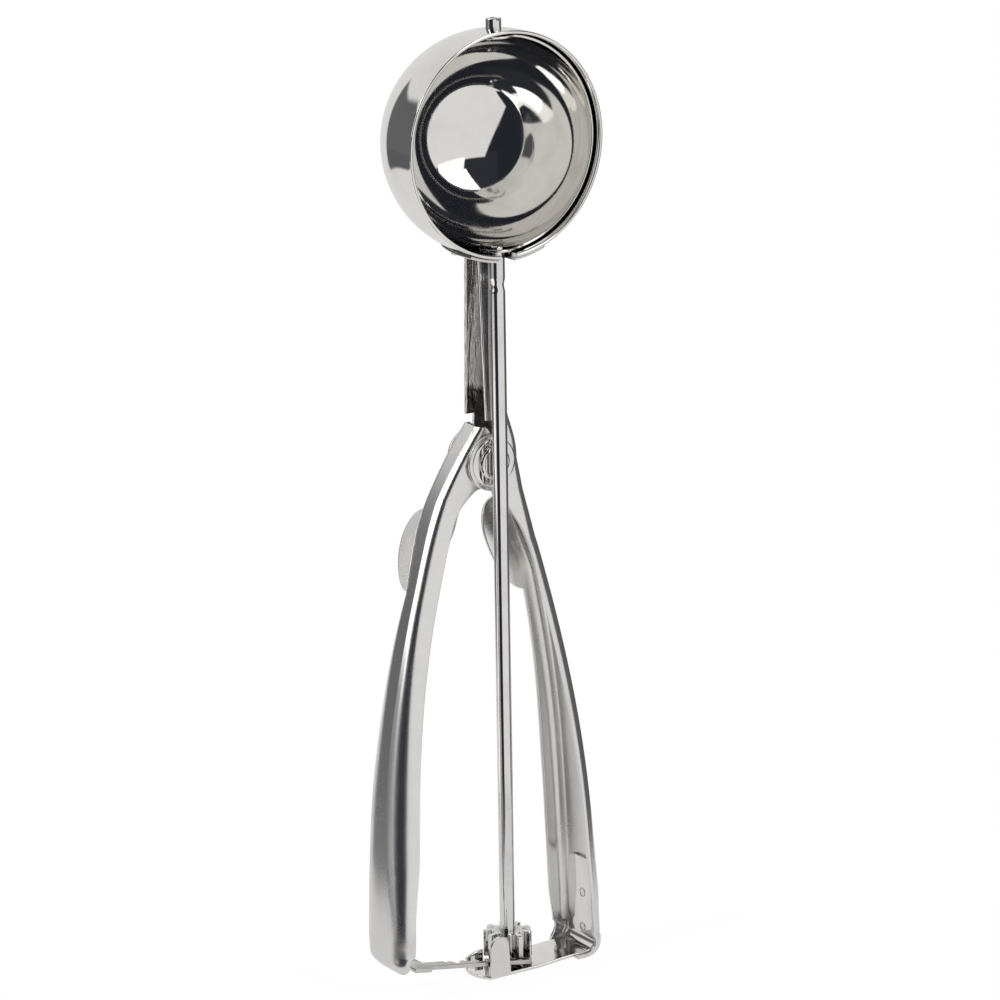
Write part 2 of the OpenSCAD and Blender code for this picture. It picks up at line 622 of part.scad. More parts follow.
// Pinion with round gullets between straight teeth
pinion_tip_r = pinion_pitch_r + 0.65;
gullet_r = 1.05;
gullet_flare = 0.9;
module pinion_outline() difference() {
    circle(r = pinion_tip_r);
    for (i = [0 : pinion_teeth - 1]) rotate(360 * (i + 0.5) / pinion_teeth - 90)
        translate([pinion_pitch_r - 0.45, 0]) {
            circle(r = gullet_r);
            polygon([[0, -gullet_r], [3, -gullet_r - gullet_flare],
                     [3, gullet_r + gullet_flare], [0, gullet_r]]);
        }
}
module pinion() color(steel) translate([0, 0, pinion_z]) difference() {
    linear_extrude(pinion_len) pinion_outline();
    translate([0, 0, -1]) cylinder(r = rod_d / 2, h = pinion_len + 2);
}
module thrust_washer() color(dark_steel) translate([0, 0, washer_z]) difference() {
    cylinder(r = rod_d / 2 + 1.4, h = washer_t);
    translate([0, 0, -1]) cylinder(r = rod_d / 2, h = 3);
}

// Scraper: a band bent to the ball with a round pad at each end
module scraper_blade() color(bright) translate([0, 0, bowl_z]) rotate([0, 0, -blade_rest])
    difference() {
        intersection() {
            sphere(r = blade_r);
            union() {
                translate([0, -blade_w / 2, -bowl_r]) cube([bowl_r, blade_w, bowl_d]);
                translate([0, 0, -bowl_r]) cylinder(r = pad_r, h = bowl_d);
            }
        }
        sphere(r = pad_in_r);
        translate([0, 0, -bowl_r]) cylinder(r = spigot_pad_r, h = bowl_d);
    }
// Pin with a spigot through the upper pad and a slot across its top
module scraper_top_pin() color(bright) difference() {
    r = top_pin_d / 2;
    h = top_pin_top - bowl_z;
    translate([0, 0, bowl_z]) rotate_extrude()
        polygon([[0, pad_in_r - burr_t], [spigot_pad_r, pad_in_r - burr_t], [spigot_pad_r, blade_r],
                 [r, blade_r], [r, h - 0.2], [r - 0.2, h], [0, h]]);
    translate([-0.4, -r - 1, top_pin_top - 0.5]) cube([0.8, 2 * r + 2, 1]);
}
// Burrs riveted over on the spigots inside the pads
module burr() difference() {
    cylinder(r = burr_r, h = burr_t);
    translate([0, 0, -1]) cylinder(r = spigot_pad_r, h = burr_t + 2);
}
module rod_burr() color(dark_steel) translate([0, 0, bowl_z - pad_in_r + burr_sink]) burr();
module pin_burr() color(dark_steel) translate([0, 0, bowl_z + pad_in_r - burr_sink - burr_t]) burr();

bowl();
bowl_saddle();
saddle_welds();
fixed_handle();
pivot_rivet();
pivot_sleeve();
return_spring();
foot_bracket();
bracket_welds();
lever_handle();
lever_spring_leg();
gear_rack();
rack_welds();
drive_rod();
pinion();
thrust_washer();
scraper_blade();
scraper_top_pin();
rod_burr();
pin_burr();
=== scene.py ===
"""Looks of a lever ice cream scoop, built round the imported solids.

Lengths are millimetres and angles are degrees unless a name says otherwise, and
meshes are written in metres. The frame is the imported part's: X is the squeeze
direction with the fixed handle at +X, the bowl opens towards -Y, and Z runs up
along the drive rod from the plane that the foot stands on.
"""
import logging
import math
from dataclasses import dataclass
from enum import Enum
from typing import Any, Sequence

import bmesh
import bpy
import numpy as np
from mathutils import Matrix, Vector


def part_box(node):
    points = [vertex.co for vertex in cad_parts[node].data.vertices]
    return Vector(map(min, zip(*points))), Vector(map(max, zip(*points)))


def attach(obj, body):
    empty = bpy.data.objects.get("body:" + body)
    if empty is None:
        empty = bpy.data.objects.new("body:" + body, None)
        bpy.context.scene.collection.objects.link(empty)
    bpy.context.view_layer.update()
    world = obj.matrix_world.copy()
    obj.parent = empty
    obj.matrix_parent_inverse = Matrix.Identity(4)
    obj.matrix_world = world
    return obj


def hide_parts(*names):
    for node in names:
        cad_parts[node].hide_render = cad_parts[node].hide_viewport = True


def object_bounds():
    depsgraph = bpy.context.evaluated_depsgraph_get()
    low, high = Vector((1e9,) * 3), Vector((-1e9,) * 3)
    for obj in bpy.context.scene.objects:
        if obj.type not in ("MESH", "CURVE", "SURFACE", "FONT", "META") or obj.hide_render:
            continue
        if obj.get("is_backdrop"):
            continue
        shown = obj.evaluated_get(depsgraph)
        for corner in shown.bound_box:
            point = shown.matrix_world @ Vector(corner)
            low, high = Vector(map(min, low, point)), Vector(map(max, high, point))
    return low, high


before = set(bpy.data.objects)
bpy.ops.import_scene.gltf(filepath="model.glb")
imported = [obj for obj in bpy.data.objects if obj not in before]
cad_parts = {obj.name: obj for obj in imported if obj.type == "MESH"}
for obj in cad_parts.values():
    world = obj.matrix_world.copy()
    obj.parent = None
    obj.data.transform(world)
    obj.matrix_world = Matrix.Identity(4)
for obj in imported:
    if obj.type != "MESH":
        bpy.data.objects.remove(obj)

LOG = logging.getLogger("scoop")
MM = 0.001
Faces = list[tuple[int, ...]]


class Body(Enum):
    """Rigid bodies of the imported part."""

    HANDLE = "handle"
    LEVER = "lever"
    SPINDLE = "spindle"


class Slot(Enum):
    """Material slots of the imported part."""

    POLISHED = "polished_steel"
    SATIN = "satin_steel"
    SPRING = "spring_steel"


# ---------------------------------------------------------------- small helpers


def mix(a: float, b: float, t: float) -> float:
    """Returns the value a share t of the way from a to b."""
    return a + (b - a) * t


def clamp01(t: float) -> float:
    """Returns t kept between 0 and 1."""
    return max(0.0, min(1.0, t))


def smooth(t: float) -> float:
    """Returns the smoothstep of t."""
    c = clamp01(t)
    return c * c * (3 - 2 * c)


def hump(z: float, middle: float, half: float) -> float:
    """Returns a round-shouldered bump that is 1 at middle and 0 from half away."""
    q = (z - middle) / half
    return (1 - q * q) ** 0.6 if abs(q) < 1 else 0.0


def sin(a: float) -> float:
    """Returns the sine of an angle in degrees."""
    return math.sin(math.radians(a))


def cos(a: float) -> float:
    """Returns the cosine of an angle in degrees."""
    return math.cos(math.radians(a))


def unit(v: np.ndarray) -> np.ndarray:
    """Returns vectors of length 1 along the last axis of v."""
    return v / np.maximum(np.linalg.norm(v, axis=-1, keepdims=True), 1e-9)


def node_box(node: str) -> tuple[np.ndarray, np.ndarray]:
    """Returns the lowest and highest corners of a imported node, in millimetres."""
    low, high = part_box(node)
    return np.array(low) / MM, np.array(high) / MM


# --------------------------------------------------------------- driving sizes


@dataclass(frozen=True)
class Sizes:
    """Sizes that several sub-assemblies share.

    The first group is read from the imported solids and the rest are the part's own
    driving dimensions.
    """

    bowl_r: float
    bowl_z: float
    rod_r: float
    rod_top: float
    pivot_x: float
    pivot_z: float
    pinion_low: float
    pinion_high: float
    pin_top: float
    band: float = 5.2
    bowl_wall: float = 0.8
    sheet: float = 0.9
    slot_r: float = 2.05
    saddle_t: float = 0.9
    front_y: float = 3.3
    channel_w: float = 9.5
    ear_gap: float = 0.2
    neck_len: float = 47.6
    swing: float = 7.7
    bracket_t: float = 0.8
    blade_r: float = 24.5
    blade_t: float = 0.6
    spigot_r: float = 0.8
    boss_t: float = 0.3
    pitch_r: float = 5.0
    pinion_teeth: int = 9

    @classmethod
    def from_frame(cls) -> "Sizes":
        """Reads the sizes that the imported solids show.

        Returns:
            The sizes of this scoop.
        """
        bowl_low, bowl_high = node_box("bowl")
        rod_low, rod_high = node_box("drive_rod")
        rivet_low, rivet_high = node_box("pivot_rivet")
        pinion_low, pinion_high = node_box("pinion")
        _, pin_high = node_box("scraper_top_pin")
        rod_r = (rod_high[0] - rod_low[0]) / 2
        return cls(
            bowl_r=(bowl_high[0] - bowl_low[0]) / 2,
            bowl_z=(bowl_high[2] + bowl_low[2]) / 2,
            rod_r=rod_r,
            rod_top=rod_high[2] - 1.2,
            pivot_x=(rivet_low[0] + rivet_high[0]) / 2,
            pivot_z=(rivet_low[2] + rivet_high[2]) / 2,
            pinion_low=pinion_low[2],
            pinion_high=pinion_high[2],
            pin_top=pin_high[2],
        )

    @property
    def ear_back_y(self) -> float:
        """Outer face of the back ear."""
        return self.front_y + self.channel_w


# ---------------------------------------------------------------- mesh making


def new_object(name: str, points: np.ndarray, faces: Faces, sharp: float = 38.0) -> bpy.types.Object:
    """Makes a closed, smooth-shaded mesh object.

    Args:
        name: The object's name.
        points: Points in millimetres, one a row.
        faces: Indices of each face's corners.
        sharp: Edges with a greater angle than this stay sharp.

    Returns:
        The new object, with its place in its mesh.
    """
    mesh = bpy.data.meshes.new(name)
    mesh.from_pydata((np.asarray(points, float) * MM).tolist(), [], faces)
    shell = bmesh.new()
    shell.from_mesh(mesh)
    bmesh.ops.remove_doubles(shell, verts=shell.verts, dist=2e-6)
    bmesh.ops.dissolve_degenerate(shell, edges=shell.edges, dist=1e-7)
    bmesh.ops.recalc_face_normals(shell, faces=shell.faces)
    shell.to_mesh(mesh)
    shell.free()
    shade(mesh, sharp)
    obj = bpy.data.objects.new(name, mesh)
    bpy.context.scene.collection.objects.link(obj)
    return obj


def shade(mesh: bpy.types.Mesh, sharp: float) -> None:
    """Shades a mesh smooth and keeps its edges over an angle sharp."""
    mesh.shade_smooth()
    mesh.set_sharp_from_angle(angle=math.radians(sharp))


def baked(obj: bpy.types.Object, sharp: float = 38.0) -> bpy.types.Object:
    """Turns an object's modifiers into plain mesh.

    Args:
        obj: The object, whose modifiers are removed.
        sharp: Edges with a greater angle than this stay sharp.

    Returns:
        The same object.
    """
    graph = bpy.context.evaluated_depsgraph_get()
    mesh = bpy.data.meshes.new_from_object(obj.evaluated_get(graph), depsgraph=graph)
    obj.modifiers.clear()
    obj.data = mesh
    shade(mesh, sharp)
    return obj


def cut(obj: bpy.types.Object, cutter: bpy.types.Object, round_by: float = 0.0) -> bpy.types.Object:
    """Cuts one closed mesh out of another and rounds the new edges.

    Args:
        obj: The object that is cut.
        cutter: The object that is taken away, and then removed.
        round_by: Width of the bevel on edges over 60 degrees, or 0 for none.

    Returns:
        The cut object.
    """
    difference = obj.modifiers.new("cut", "BOOLEAN")
    difference.operation = "DIFFERENCE"
    difference.solver = "EXACT"
    difference.object = cutter
    if round_by:
        bevel = obj.modifiers.new("round", "BEVEL")
        bevel.width = round_by * MM
        bevel.segments = 2
        bevel.limit_method = "ANGLE"
        bevel.angle_limit = math.radians(60)
    baked(obj)
    bpy.data.objects.remove(cutter)
    return obj


def revolve(name: str, profile: Sequence[tuple[float, float]], place: Matrix, steps: int = 64) -> bpy.types.Object:
    """Turns a closed or pole-to-pole profile about an axis.

    Args:
        name: The object's name.
        profile: Points as (radius, height along the axis).
        place: Turns the axis from Z and moves it, in millimetres.
        steps: Number of steps round the axis.

    Returns:
        The solid of revolution.
    """
    turn = [360 * k / steps for k in range(steps)]
    points = [place @ Vector((r * cos(a), r * sin(a), h)) for a in turn for r, h in profile]
    n = len(profile)
    faces = []
    for k in range(steps):
        here, there = k * n, (k + 1) % steps * n
        for i in range(n if profile[0][0] > 0 else n - 1):
            j = (i + 1) % n
            faces.append((here + i, here + j, there + j, there + i))
    return new_object(name, np.array([tuple(p) for p in points]), faces)


def along_y(x: float, z: float) -> Matrix:
    """Returns the turn and shift that lay a Z axis along +Y through (x, z)."""
    return Matrix.Translation((x, 0, z)) @ Matrix.Rotation(math.radians(-90), 4, "X")


def at_z(z: float) -> Matrix:
    """Returns a shift up to a height."""
    return Matrix.Translation((0, 0, z))


def rounded_profile(corners: Sequence[tuple[float, float, float]], steps: int = 4) -> list[tuple[float, float]]:
    """Rounds the corners of a profile.

    Args:
        corners: (radius, height, rounding) of each corner; a rounding of 0 keeps it.
        steps: Steps in each rounded corner.

    Returns:
        The profile's points.
    """
    points: list[tuple[float, float]] = []
    for i, (x, y, r) in enumerate(corners):
        if r <= 0 or i in (0, len(corners) - 1):
            points.append((x, y))
            continue
        here = Vector((x, y))
        before = (Vector(corners[i - 1][:2]) - here).normalized() * r
        after = (Vector(corners[i + 1][:2]) - here).normalized() * r
        for k in range(steps + 1):
            t = k / steps
            p = here + before * (1 - t) ** 2 + after * t**2
            points.append((p.x, p.y))
    return with_support(points)


def with_support(points: Sequence[tuple[float, float]], near: float = 0.06) -> list[tuple[float, float]]:
    """Adds a point close to both ends of each long stretch, so that flats shade flat.

    Args:
        points: The profile's points.
        near: Distance of the added points from the ends.

    Returns:
        The profile with its added points.
    """
    held = [points[0]]
    for (x0, y0), (x1, y1) in zip(points, points[1:]):
        length = math.hypot(x1 - x0, y1 - y0)
        if length > 6 * near:
            t = near / length
            held.append((mix(x0, x1, t), mix(y0, y1, t)))
            held.append((mix(x1, x0, t), mix(y1, y0, t)))
        held.append((x1, y1))
    return held


RIM_ANGLES = (90.0, 60.0, 30.0, 6.0)


def bent_sheet(
    name: str,
    rows: np.ndarray,
    thickness: float,
    spine: np.ndarray | None = None,
    rim: float = 0.32,
    sharp: float = 38.0,
) -> bpy.types.Object:
    """Gives a middle surface an even thickness and rounded rims, like pressed sheet.

    Args:
        name: The object's name.
        rows: The middle surface as rows of points, in an array of rows by columns by 3.
        thickness: The sheet's thickness.
        spine: Direction of travel at each row, or None to take it from the points.
        rim: How far each rim is rounded back from its edge.
        sharp: Edges with a greater angle than this stay sharp.

    Returns:
        The closed sheet.
    """
    across = unit(np.gradient(rows, axis=1))
    travel = np.gradient(rows, axis=0) if spine is None else np.repeat(spine[:, None, :], rows.shape[1], 1)
    normal = unit(np.cross(travel, across)) * thickness / 2
    middle = rows.copy()
    edges = []
    for end, inner in ((0, 1), (-1, -2)):
        out = unit(rows[:, end] - rows[:, inner])
        gap = np.linalg.norm(rows[:, end] - rows[:, inner], axis=1, keepdims=True)
        reach = np.minimum(rim, 0.7 * gap)
        middle[:, end] -= out * reach
        edges.append((end, out * reach))
    sides = []
    for sign in (1, -1):
        (first, out_first), (last, out_last) = edges
        start = [middle[:, first] + out_first * sin(a) + sign * normal[:, first] * cos(a) for a in RIM_ANGLES]
        finish = [middle[:, last] + out_last * sin(a) + sign * normal[:, last] * cos(a) for a in RIM_ANGLES]
        body = middle + sign * normal
        sides.append(np.concatenate([np.stack(start, 1), body, np.stack(finish[::-1], 1)], axis=1))
    top, bottom = sides
    top, bottom = round_ends(top, bottom, rows, rim)
    count = top.shape[0]
    loops = np.concatenate([top, bottom[:, -2:0:-1]], axis=1)
    size = loops.shape[1]
    faces: Faces = []
    for i in range(count - 1):
        for k in range(size):
            m = (k + 1) % size
            faces.append((i * size + k, i * size + m, (i + 1) * size + m, (i + 1) * size + k))
    return new_object(name, loops.reshape(-1, 3), faces, sharp)


def round_ends(
    top: np.ndarray, bottom: np.ndarray, rows: np.ndarray, rim: float
) -> tuple[np.ndarray, np.ndarray]:
    """Adds rows that close a sheet's first and last rows with a rounded rim.

    Args:
        top: Rows of one side.
        bottom: Rows of the other side.
        rows: The middle surface, which gives the directions outwards.
        rim: How far each rim is rounded back from its edge.

    Returns:
        Both sides with their extra rows.
    """
    centre = rows.shape[1] // 2
    extra = []
    for end, inner in ((0, 1), (-1, -2)):
        step = rows[end, centre] - rows[inner, centre]
        length = float(np.linalg.norm(step))
        out = step / max(length, 1e-9) * min(rim, 0.7 * length)
        top[end] -= out
        bottom[end] -= out
        half = (top[end] - bottom[end]) / 2
        middle = (top[end] + bottom[end]) / 2
        shells = [
            (middle + half * cos(a) + out * sin(a), middle - half * cos(a) + out * sin(a))
            for a in RIM_ANGLES[::-1]
        ]
        extra.append(shells)
    first, last = extra
    joined = []
    for side, part in enumerate((top, bottom)):
        before = [shell[side] for shell in first[::-1]]
        after = [shell[side] for shell in last]
        joined.append(np.concatenate([np.stack(before), part, np.stack(after)]))
    return joined[0], joined[1]


def prism(
    name: str, low: Sequence[tuple[float, float, float]], high: Sequence[tuple[float, float, float]]
) -> bpy.types.Object:
    """Joins two rings of points with the same count into a closed solid.

    Args:
        name: The object's name.
        low: Points of the first end, in order.
        high: Points of the other end, in the same order.

    Returns:
        The solid.
    """
    n = len(low)
    faces: Faces = [tuple(range(n - 1, -1, -1)), tuple(range(n, 2 * n))]
    faces += [(i, (i + 1) % n, (i + 1) % n + n, i + n) for i in range(n)]
    return new_object(name, np.array([*low, *high], float), faces)


def plate(name: str, outline: Sequence[tuple[float, float]], low: float, high: float, edge: float) -> bpy.types.Object:
    """Extrudes a flat outline along Z with softened edges.

    Args:
        name: The object's name.
        outline: Corners as (x, y), in order.
        low: Height of the lower face.
        high: Height of the upper face.
        edge: Width of the bevel round both faces.

    Returns:
        The plate.
    """
    obj = prism(name, *([(x, y, z) for x, y in outline] for z in (low, high)))
    bevel = obj.modifiers.new("edge", "BEVEL")
    bevel.width = edge * MM
    bevel.segments = 2
    bevel.limit_method = "ANGLE"
    bevel.angle_limit = math.radians(50)
    return baked(obj)


def turned(obj: bpy.types.Object, place: Matrix) -> bpy.types.Object:
    """Applies a turn and shift to a mesh.

    Args:
        obj: The object whose mesh moves.
        place: The turn and shift, in millimetres.

    Returns:
        The same object.
    """
    metres = place.copy()
    metres.translation = place.translation * MM
    obj.data.transform(metres)
    return obj


# -------------------------------------------------------------- geometry nodes


@dataclass
class NodePad:
    """Adds nodes to a tree and joins their sockets."""

    tree: Any

    def add(self, kind: str, inputs: dict[Any, Any] | None = None, **settings: Any) -> Any:
        """Adds a node.

        Args:
            kind: The node's type.
            inputs: Values or sockets for its inputs, by name or index.
            settings: Properties of the node.

        Returns:
            The node.
        """
        node = self.tree.nodes.new(kind)
        for key, value in settings.items():
            setattr(node, key, value)
        for key, value in (inputs or {}).items():
            if isinstance(value, bpy.types.NodeSocket):
                self.tree.links.new(value, node.inputs[key])
            else:
                node.inputs[key].default_value = value
        return node

    def math(self, operation: str, *values: Any) -> Any:
        """Adds a math node and returns its output."""
        return self.add("ShaderNodeMath", dict(enumerate(values)), operation=operation).outputs[0]

    def vector(self, operation: str, *values: Any) -> Any:
        """Adds a vector math node and returns its output."""
        return self.add("ShaderNodeVectorMath", dict(enumerate(values)), operation=operation).outputs[0]

    def blend(self, share: Any, low: Any, high: Any) -> Any:
        """Adds a mix that is low at share 0 and high at share 1, and returns its output."""
        return self.add("ShaderNodeMix", {0: share, 2: low, 3: high}).outputs[0]

    def ramp(self, value: Any, start: Any, end: Any, low: Any = 0.0, high: Any = 1.0, curve: str = "LINEAR") -> Any:
        """Adds a node that takes start to low and end to high, and returns its output."""
        inputs = {"Value": value, "From Min": start, "From Max": end, "To Min": low, "To Max": high}
        return self.add("ShaderNodeMapRange", inputs, interpolation_type=curve).outputs[0]

    def noise(self, place: Any, scale: Any, detail: float, roughness: float = 0.5) -> Any:
        """Adds a noise texture and returns its node."""
        inputs = {"Vector": place, "Scale": scale, "Detail": detail, "Roughness": roughness}
        return self.add("ShaderNodeTexNoise", inputs)

    def group(self, tree: Any, inputs: dict[str, Any]) -> Any:
        """Adds a shader group node with its inputs and returns the node."""
        return self.add("ShaderNodeGroup", inputs, node_tree=tree)


@dataclass
class Modelling:
    """Base of the geometry node trees that repeat or sweep a piece."""

    name: str

    def tree(self, sockets: dict[str, str]) -> tuple[Any, NodePad, Any]:
        """Starts a tree with a geometry input and named inputs.

        Args:
            sockets: Socket type by input name.

        Returns:
            The tree, a pad on it, and its group input node.
        """
        tree = bpy.data.node_groups.new(self.name, "GeometryNodeTree")
        tree.interface.new_socket("Geometry", in_out="INPUT", socket_type="NodeSocketGeometry")
        for label, kind in sockets.items():
            tree.interface.new_socket(label, in_out="INPUT", socket_type=kind)
        tree.interface.new_socket("Geometry", in_out="OUTPUT", socket_type="NodeSocketGeometry")
        pad = NodePad(tree)
        return tree, pad, pad.add("NodeGroupInput")

    def copies(self, pad: NodePad, entry: Any, points: Any, turn: Any = None) -> Any:
        """Puts a copy of the tree's first geometry on each point.

        Args:
            pad: The tree's pad.
            entry: The tree's group input node.
            points: Socket with the points.
            turn: Socket with the copies' rotation, or None for none.

        Returns:
            The socket with the copies.
        """
        inputs = {"Points": points, "Instance": entry.outputs["Geometry"]}
        if turn is not None:
            inputs["Rotation"] = turn
        return pad.add("GeometryNodeInstanceOnPoints", inputs).outputs[0]

    def close(self, pad: NodePad, geometry: Any, entry: Any) -> None:
        """Ends a tree in Realize Instances, Merge by Distance and Set Material.

        Args:
            pad: The tree's pad.
            geometry: Socket with the finished geometry.
            entry: The tree's group input node.
        """
        real = pad.add("GeometryNodeRealizeInstances", {"Geometry": geometry})
        welded = pad.add("GeometryNodeMergeByDistance", {"Geometry": real.outputs[0], "Distance": 1e-6})
        dressed = pad.add(
            "GeometryNodeSetMaterial",
            {"Geometry": welded.outputs[0], "Material": entry.outputs["Material"]},
        )
        pad.add("NodeGroupOutput", {0: dressed.outputs[0]})

    def apply(self, obj: bpy.types.Object, tree: Any, values: dict[str, Any]) -> bpy.types.Object:
        """Runs a tree on an object and keeps the result as plain mesh.

        Args:
            obj: The object that carries the tree's first geometry.
            tree: The tree.
            values: The value of each named input.

        Returns:
            The same object.
        """
        modifier = obj.modifiers.new(self.name, "NODES")
        modifier.node_group = tree
        for item in tree.interface.items_tree:
            if item.in_out == "INPUT" and item.name in values:
                modifier[item.identifier] = values[item.name]
        return baked(obj)


@dataclass
class PolarRepeat(Modelling):
    """Repeats a sector round Z and welds the copies to each other."""

    def run(self, sector: bpy.types.Object, count: int, material: bpy.types.Material) -> bpy.types.Object:
        """Repeats a sector.

        Args:
            sector: The object with the mesh of one sector, open at its sides.
            count: Number of sectors in a full turn.
            material: The material of the result.

        Returns:
            The same object with all its sectors.
        """
        tree, pad, entry = self.tree({"Count": "NodeSocketInt", "Material": "NodeSocketMaterial"})
        points = pad.add("GeometryNodePoints", {"Count": entry.outputs["Count"]})
        index = pad.add("GeometryNodeInputIndex").outputs[0]
        step = pad.math("DIVIDE", 2 * math.pi, entry.outputs["Count"])
        angle = pad.add("ShaderNodeCombineXYZ", {2: pad.math("MULTIPLY", index, step)})
        self.close(pad, self.copies(pad, entry, points.outputs[0], angle.outputs[0]), entry)
        return self.apply(sector, tree, {"Count": count, "Material": material})


@dataclass
class RackTeeth(Modelling):
    """Sets teeth at equal angles about the lever's pivot along a straight rack."""

    def run(
        self, tooth: bpy.types.Object, count: int, arm: float, first: float, step: float, material: bpy.types.Material
    ) -> bpy.types.Object:
        """Repeats a tooth.

        Args:
            tooth: The object with the mesh of one tooth at X = 0.
            count: Number of teeth.
            arm: Distance of the rack from the pivot, in metres.
            first: Angle of the first tooth about the pivot, in radians.
            step: Angle between teeth, in radians.
            material: The material of the result.

        Returns:
            The same object with all its teeth.
        """
        tree, pad, entry = self.tree(
            {
                "Count": "NodeSocketInt",
                "Arm": "NodeSocketFloat",
                "First": "NodeSocketFloat",
                "Step": "NodeSocketFloat",
                "Material": "NodeSocketMaterial",
            }
        )
        index = pad.add("GeometryNodeInputIndex").outputs[0]
        back = pad.math("MULTIPLY", index, entry.outputs["Step"])
        angle = pad.math("SUBTRACT", entry.outputs["First"], back)
        reach = pad.math("MULTIPLY", pad.math("TANGENT", angle), entry.outputs["Arm"])
        place = pad.add("ShaderNodeCombineXYZ", {0: reach})
        points = pad.add("GeometryNodePoints", {"Count": entry.outputs["Count"], "Position": place.outputs[0]})
        self.close(pad, self.copies(pad, entry, points.outputs[0]), entry)
        values = {"Count": count, "Arm": arm, "First": first, "Step": step, "Material": material}
        return self.apply(tooth, tree, values)


@dataclass
class WireSweep(Modelling):
    """Sweeps a round wire along the edges of a path."""

    def run(
        self, name: str, path: Sequence[Sequence[float]], wire_r: float, material: bpy.types.Material
    ) -> bpy.types.Object:
        """Sweeps a wire.

        Args:
            name: The object's name.
            path: Points of the wire's middle line, in millimetres.
            wire_r: The wire's radius in millimetres.
            material: The material of the result.

        Returns:
            The wire.
        """
        mesh = bpy.data.meshes.new(name)
        points = (np.asarray(path, float) * MM).tolist()
        mesh.from_pydata(points, [(i, i + 1) for i in range(len(points) - 1)], [])
        obj = bpy.data.objects.new(name, mesh)
        bpy.context.scene.collection.objects.link(obj)
        tree, pad, entry = self.tree({"Radius": "NodeSocketFloat", "Material": "NodeSocketMaterial"})
        line = pad.add("GeometryNodeMeshToCurve", {"Mesh": entry.outputs["Geometry"]})
        ring = pad.add(
            "GeometryNodeCurvePrimitiveCircle", {"Resolution": 16, "Radius": entry.outputs["Radius"]}, mode="RADIUS"
        )
        swept = pad.add(
            "GeometryNodeCurveToMesh",
            {"Curve": line.outputs[0], "Profile Curve": ring.outputs[0], "Fill Caps": True},
        )
        self.close(pad, swept.outputs[0], entry)
        return self.apply(obj, tree, {"Radius": wire_r * MM, "Material": material})


@dataclass
class SpotWelds(Modelling):
    """Sets a low dimpled dome at each point, all turned the same way."""

    def run(
        self,
        name: str,
        points: Sequence[Sequence[float]],
        turn: Sequence[float],
        radius: float,
        height: float,
        material: bpy.types.Material,
    ) -> bpy.types.Object:
        """Sets the spot welds.

        Args:
            name: The object's name.
            points: Middle of each spot, in millimetres.
            turn: Euler angles in degrees that take Z to the spots' outward direction.
            radius: Radius of a spot.
            height: Height of a spot's rim.
            material: The material of the result.

        Returns:
            The spots, as one object.
        """
        profile = [
            (0.0, -height),
            (radius, -height),
            (radius, 0.0),
            (radius * 0.98, height * 0.8),
            (radius * 0.92, height),
            (radius * 0.86, height * 0.8),
            (radius * 0.82, height * 0.1),
            (radius * 0.78, height * 0.02),
            (radius * 0.7, height * 0.12),
            (0.0, height * 0.25),
        ]
        spot = revolve(name, profile, Matrix.Identity(4), 40)
        tree, pad, entry = self.tree(
            {"Turn": "NodeSocketRotation", "Material": "NodeSocketMaterial"}
            | {f"Point {i}": "NodeSocketVector" for i in range(len(points))}
        )
        joined = pad.add("GeometryNodeJoinGeometry")
        for i in range(len(points)):
            cloud = pad.add("GeometryNodePoints", {"Count": 1, "Position": entry.outputs[f"Point {i}"]})
            tree.links.new(cloud.outputs[0], joined.inputs[0])
        self.close(pad, self.copies(pad, entry, joined.outputs[0], entry.outputs["Turn"]), entry)
        values: dict[str, Any] = {"Material": material, "Turn": [math.radians(a) for a in turn]}
        for i, point in enumerate(points):
            values[f"Point {i}"] = [c * MM for c in point]
        return self.apply(spot, tree, values)


# ------------------------------------------------------------------- finishes


